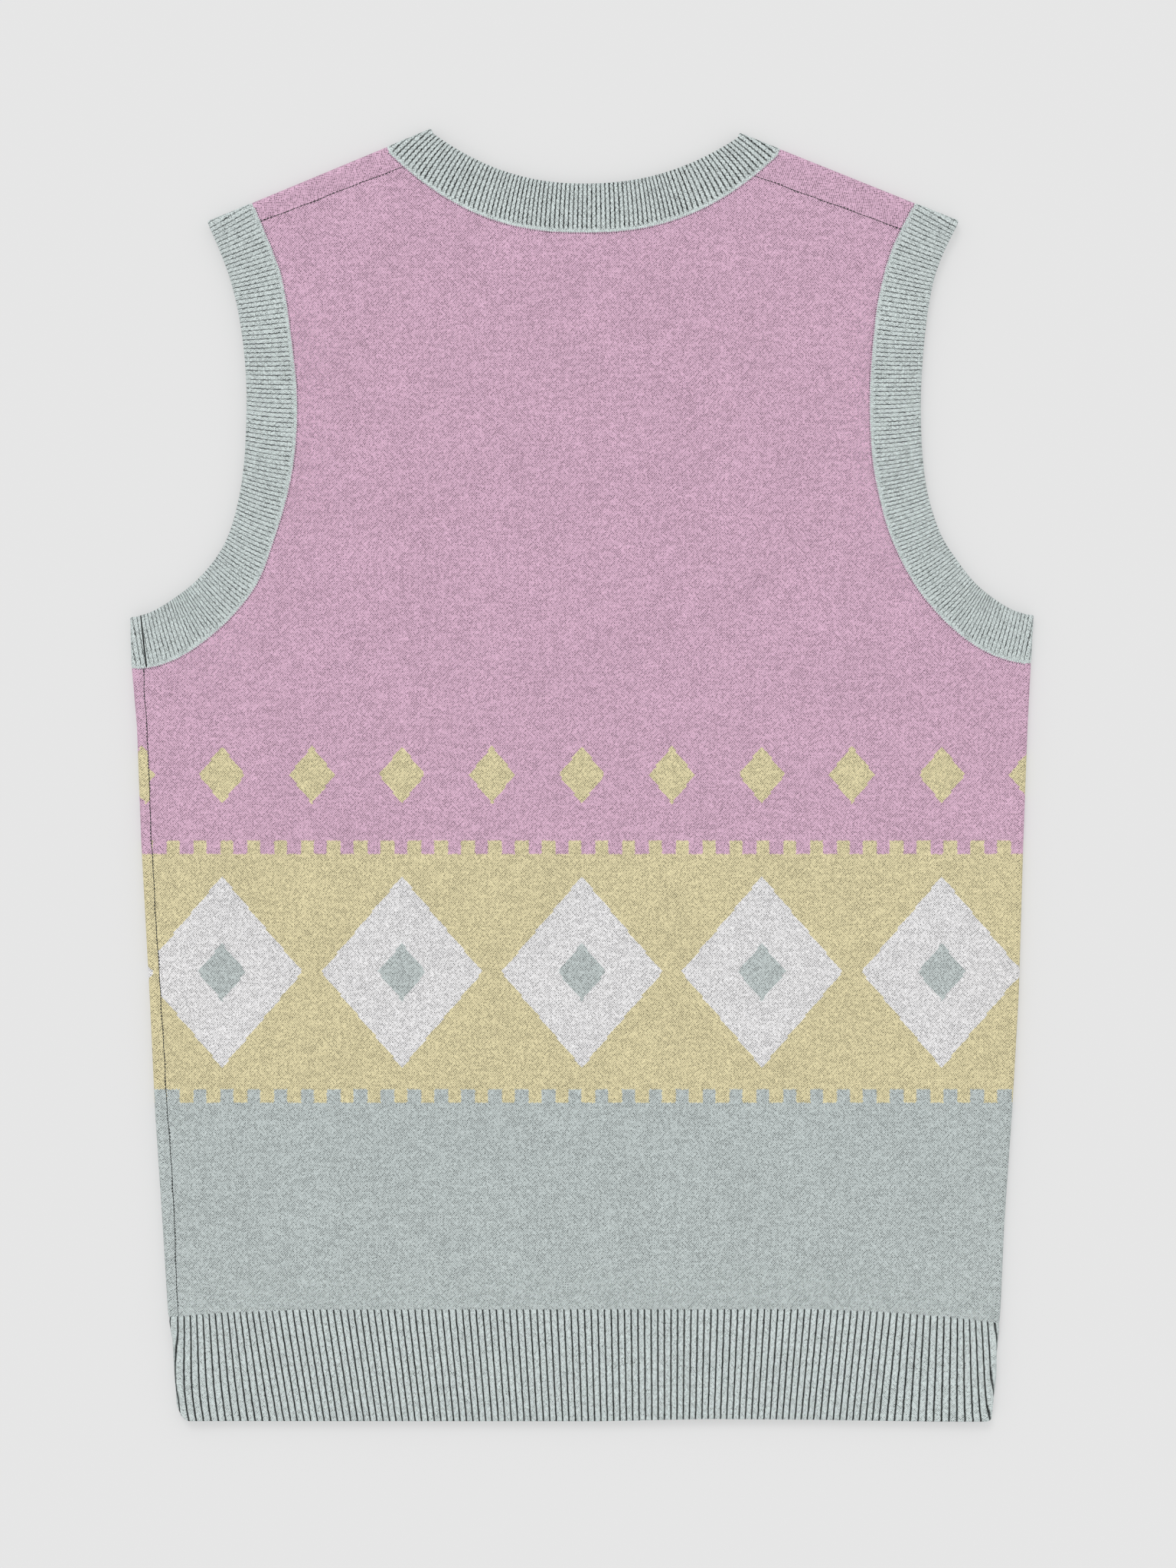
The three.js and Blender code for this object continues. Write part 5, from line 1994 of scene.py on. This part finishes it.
@dataclass
class SeamStitches:
    """The stitches that show along the bands' seams, as rows of small loops of yarn, and rows of
    dark loops that are painted shade in the gaps beside the bands' seams and along the panels'
    seams.
    """

    pattern: VestPattern
    pitch: float = 1.25
    # Except the band's, the pitches, loops and lifts below, and the distance beside the band, are
    # for the dark loops of painted shade in the seams' gaps.
    gap_shade_pitch: float = 1.25
    seam_shade_pitch: float = 1.8
    band_loop: tuple[float, float, float] = (0.52, 0.55, 0.34)
    gap_shade_loop: tuple[float, float, float] = (0.3, 0.34, 0.12)
    seam_shade_loop: tuple[float, float, float] = (0.66, 0.32, 0.1)
    band_lift: float = 0.12
    gap_shade_lift: float = -0.03
    beside_band: float = 0.8
    side_seam: tuple[float, float] = (60.0, 393.0)
    waver: float = 0.22
    segments: int = 8
    rings: int = 5

    def loop(self) -> tuple[Array, Array]:
        """Makes one small rounded loop: its points and its faces in fours.

        Returns:
            The points, and four point numbers a face.
        """
        around = np.linspace(0, 2 * math.pi, self.segments, endpoint=False)
        rise = np.linspace(-math.pi / 2, math.pi / 2, self.rings + 1)
        points = np.stack([
            np.outer(np.cos(rise), np.cos(around)),
            np.outer(np.cos(rise), np.sin(around)),
            np.outer(np.sin(rise), np.ones_like(around)),
        ], axis=-1)
        index = np.arange(points.shape[0] * self.segments).reshape(-1, self.segments)
        index[0], index[-1] = index[0, 0], index[-1, 0]
        ahead = np.roll(index, -1, axis=1)
        faces = np.stack([index[:-1], ahead[:-1], ahead[1:], index[1:]], axis=-1)
        return points.reshape(-1, 3), faces.reshape(-1, 4)

    def along(
        self,
        name: str,
        lines: list[tuple[Array, Layer]],
        lift: float,
        radii: tuple[float, float, float],
        pitch: float,
    ) -> bpy.types.Object:
        """Sets loops along some lines.

        Args:
            name: The piece's name.
            lines: Each line's points, and the sheet that it lies on.
            lift: How far the loops' middles stand on the cloth's face.
            radii: The loops' half sizes along the line, across it and upwards.
            pitch: The distance from one loop to the next.

        Returns:
            The new object.
        """
        shape, faces = self.loop()
        vertices, corners, knits = [], [], []
        number = 0
        rng = np.random.default_rng(7)
        for line, layer in lines:
            count = max(int(line_length(line) / pitch), 1)
            spots = points_along(line, (np.arange(count) + 0.5) / count)
            ahead = points_along(line, np.minimum((np.arange(count) + 0.6) / count, 1.0))
            levels = np.full(count, layer.value)
            place, facing = self.pattern.rest(spots[:, 0], spots[:, 1], levels)
            onward, _ = self.pattern.rest(ahead[:, 0], ahead[:, 1], levels)
            under = (1 - facing[:, 2:]) / 2 * (lift + radii[2] + 0.05)
            place = place + facing * (self.pattern.wall / 2 + lift - under)
            forward = onward - place
            forward -= facing * np.sum(forward * facing, axis=1, keepdims=True)
            forward /= np.linalg.norm(forward, axis=1, keepdims=True)
            aside = np.cross(facing, forward)
            axes = np.stack([forward, aside, facing], axis=1) * np.array(radii)[:, None]
            axes[:, 0] *= rng.uniform(0.7, 1.2, count)[:, None]
            vertices.append((shape @ axes + place[:, None]).reshape(-1, 3))
            first = (number + np.arange(count))[:, None, None] * len(shape)
            corners.append((faces + first).reshape(-1, 4))
            place_on = np.stack([shape[:, 0] * 0.45 + 0.5, shape[:, 1]], axis=-1)
            knit = place_on + np.stack([number + np.arange(count), np.zeros(count)], -1)[:, None]
            knits.append(knit[:, faces].reshape(-1, 4, 2))
            number += count
        return mesh_object(
            name, np.concatenate(vertices), np.concatenate(corners), np.concatenate(knits)
        )

    def beside(self, line: Array, distance: float) -> Array:
        """Draws a line a little to the left of another.

        Args:
            line: The other line.
            distance: How far to the left.

        Returns:
            The new line.
        """
        ahead = np.gradient(line, axis=0)
        ahead /= np.hypot(*ahead.T)[:, None]
        return line + np.stack([-ahead[:, 1], ahead[:, 0]], axis=-1) * distance

    def armhole_lines(self, side: Side, distance: float = 0.0) -> list[tuple[Array, Layer]]:
        """Lists an armhole seam on both sheets, or lines beside it on the panels.

        Args:
            side: The side of the vest.
            distance: How far beside the seam.

        Returns:
            The lines and their sheets.
        """
        line = self.pattern.armhole_line(side)
        lines = (line, self.pattern.front_armhole(line))
        shift = distance * side.inward
        return [(self.beside(line, shift), layer) for line, layer in zip(lines, Layer)]

    def neck_lines(self, distance: float = 0.0) -> list[tuple[Array, Layer]]:
        """Lists the neck seam on both sheets, or lines beside it on the panels.

        Args:
            distance: How far beside the seam.

        Returns:
            The lines and their sheets.
        """
        pattern = self.pattern
        tips = pattern.neck_seam_tips
        lines = (
            pattern.neck_line(tips, pattern.neck_seam_low),
            pattern.front_neck_line(tips, pattern.front_neck_points[0]),
        )
        return [(self.beside(line, -distance), layer) for line, layer in zip(lines, Layer)]

    def wavering(self, start: Array, end: Array) -> Array:
        """Draws a seam that wavers a little from stitch to stitch.

        Args:
            start: Where it starts.
            end: Where it ends.

        Returns:
            The line's points.
        """
        run = end - start
        length = math.hypot(*run)
        place = np.linspace(0, 1, int(length / self.pitch) + 1)
        shift = self.waver * (np.sin(place * length / 2.9) + np.sin(place * length / 7.3 + 1.1))
        return start + run * place[:, None] + np.array([-run[1], run[0]]) / length * shift[:, None]

    def shoulder_lines(self, panels: BodyPanels) -> list[tuple[Array, Layer]]:
        """Lists the two shoulder seams.

        Args:
            panels: The panels that they join.

        Returns:
            The lines and their sheets.
        """
        neck = panels.neck_shares()
        lines = []
        for side, shares in zip(Side, (neck[:2], neck[2:])):
            armhole = np.array([sum(panels.armhole_shares(side)[:2]) / 2])
            start = points_along(self.pattern.armhole_line(side), armhole)[0]
            end = points_along(panels.neck_seam(), np.array([sum(shares) / 2]))[0]
            lines.append((self.wavering(start, end), Layer.UPPER))
        return lines

    def side_lines(self) -> list[tuple[Array, Layer]]:
        """Lists the left side seam, which lies on the upper sheet.

        Returns:
            The line and its sheet.
        """
        low, high = self.side_seam
        up = np.linspace(low, high, int((high - low) / self.pitch))
        shift = self.waver * (np.sin(up / 2.9) + np.sin(up / 7.3))
        line = np.stack([self.pattern.left_seam_x(up) + shift, up], axis=-1)
        return [(line, Layer.UPPER)]

    def dress(self, panels: BodyPanels) -> list[bpy.types.Object]:
        """Builds the stitches of the bands' seams, and the dark loops of painted shade beside them
        and along the panels' seams.

        Args:
            panels: The panels that the seams join.

        Returns:
            The rows of stitches and of painted shade.
        """
        light = ThreadFinish("seam_yarn", Yarn.GREEN, 1.2).material()
        # Painted shade: the same green yarn at a tenth of its brightness, for the dark loops in
        # the seams' gaps.
        dark = ThreadFinish("painted_gap_shade", Yarn.GREEN, 0.1).material()
        pieces = []
        band, link, dash = self.band_loop, self.gap_shade_loop, self.seam_shade_loop
        for side in Side:
            name = f"armhole_{side.name.lower()}"
            lines, beside = (self.armhole_lines(side, shift) for shift in (0.0, self.beside_band))
            pieces.append(self.along(f"{name}_stitches", lines, self.band_lift, band, self.pitch))
            # Dark loops of painted shade in the gap beside the armhole seam.
            links = self.along(f"{name}_links", beside, self.gap_shade_lift, link, self.gap_shade_pitch)
            pieces.append(links)
        lines, beside = (self.neck_lines(shift) for shift in (0.0, self.beside_band))
        pieces.append(self.along("neck_stitches", lines, self.band_lift, band, self.pitch))
        # Dark loops of painted shade in the gap beside the neck seam.
        pieces.append(self.along("neck_links", beside, self.gap_shade_lift, link, self.gap_shade_pitch))
        lines = self.shoulder_lines(panels) + self.side_lines()
        # Dark dashes of painted shade along the shoulder and side seams.
        seams = self.along("panel_seam_links", lines, self.gap_shade_lift, dash, self.seam_shade_pitch)
        pieces.append(seams)
        for piece in pieces:
            dress(piece, light if piece.name.endswith("stitches") else dark)
        return pieces


@dataclass
class Studio:
    """The pale floor, the soft light and the camera that looks straight down."""

    floor_half: float = 2.5
    floor_drop: float = 0.0002
    sky: float = 0.86
    sun: float = 0.565
    sun_size: float = 25.0
    sun_turn: tuple[float, float] = (-38.0, -16.0)
    view_height: float = 0.8192
    lens: float = 120.0
    sensor: float = 36.0
    middle: tuple[float, float] = (0.0032, -0.0047)
    cloth_height: float = 0.005

    def floor(self) -> bpy.types.Object:
        """Lays the floor.

        Returns:
            The floor.
        """
        s, z = self.floor_half, -self.floor_drop
        mesh = bpy.data.meshes.new("studio_floor")
        mesh.from_pydata([(-s, -s, z), (s, -s, z), (s, s, z), (-s, s, z)], [], [(0, 1, 2, 3)])
        floor = bpy.data.objects.new("studio_floor", mesh)
        floor.data.materials.append(FloorFinish().material())
        bpy.context.scene.collection.objects.link(floor)
        return floor

    def light(self) -> None:
        """Sets a white sky and one broad soft lamp."""
        scene = bpy.context.scene
        world = bpy.data.worlds.new("studio_sky")
        world.use_nodes = True
        background = world.node_tree.nodes["Background"]
        background.inputs["Color"].default_value = (1.0, 1.0, 1.0, 1.0)
        background.inputs["Strength"].default_value = self.sky
        scene.world = world
        lamp = bpy.data.lights.new("studio_lamp", "SUN")
        lamp.energy = self.sun
        lamp.angle = math.radians(self.sun_size)
        holder = bpy.data.objects.new("studio_lamp", lamp)
        holder.rotation_euler = (*(math.radians(turn) for turn in self.sun_turn), 0.0)
        scene.collection.objects.link(holder)

    def camera(self) -> None:
        """Hangs the camera over the vest."""
        scene = bpy.context.scene
        data = bpy.data.cameras.new("overhead_camera")
        data.lens = self.lens
        data.sensor_width = self.sensor
        camera = bpy.data.objects.new("overhead_camera", data)
        distance = self.view_height * self.lens / self.sensor
        camera.location = (*self.middle, distance + self.cloth_height)
        scene.collection.objects.link(camera)
        scene.camera = camera
        scene.view_settings.view_transform = "Standard"

    def set_up(self) -> None:
        """Sets up the floor, the light and the camera."""
        self.floor()
        self.light()
        self.camera()


def main() -> None:
    """Builds the vest and its studio."""
    logging.basicConfig(level=logging.INFO, format="%(message)s")
    pattern = VestPattern()
    Studio().set_up()
    panels = BodyPanels(pattern)
    pieces = panels.dress()
    pieces += HemRibs(pattern).dress()
    pieces += Armbands(pattern).dress()
    pieces += Neckband(pattern).dress()
    pieces += SeamStitches(pattern).dress(panels)
    for piece in pieces:
        report(piece)


if __name__ == "__main__":
    main()
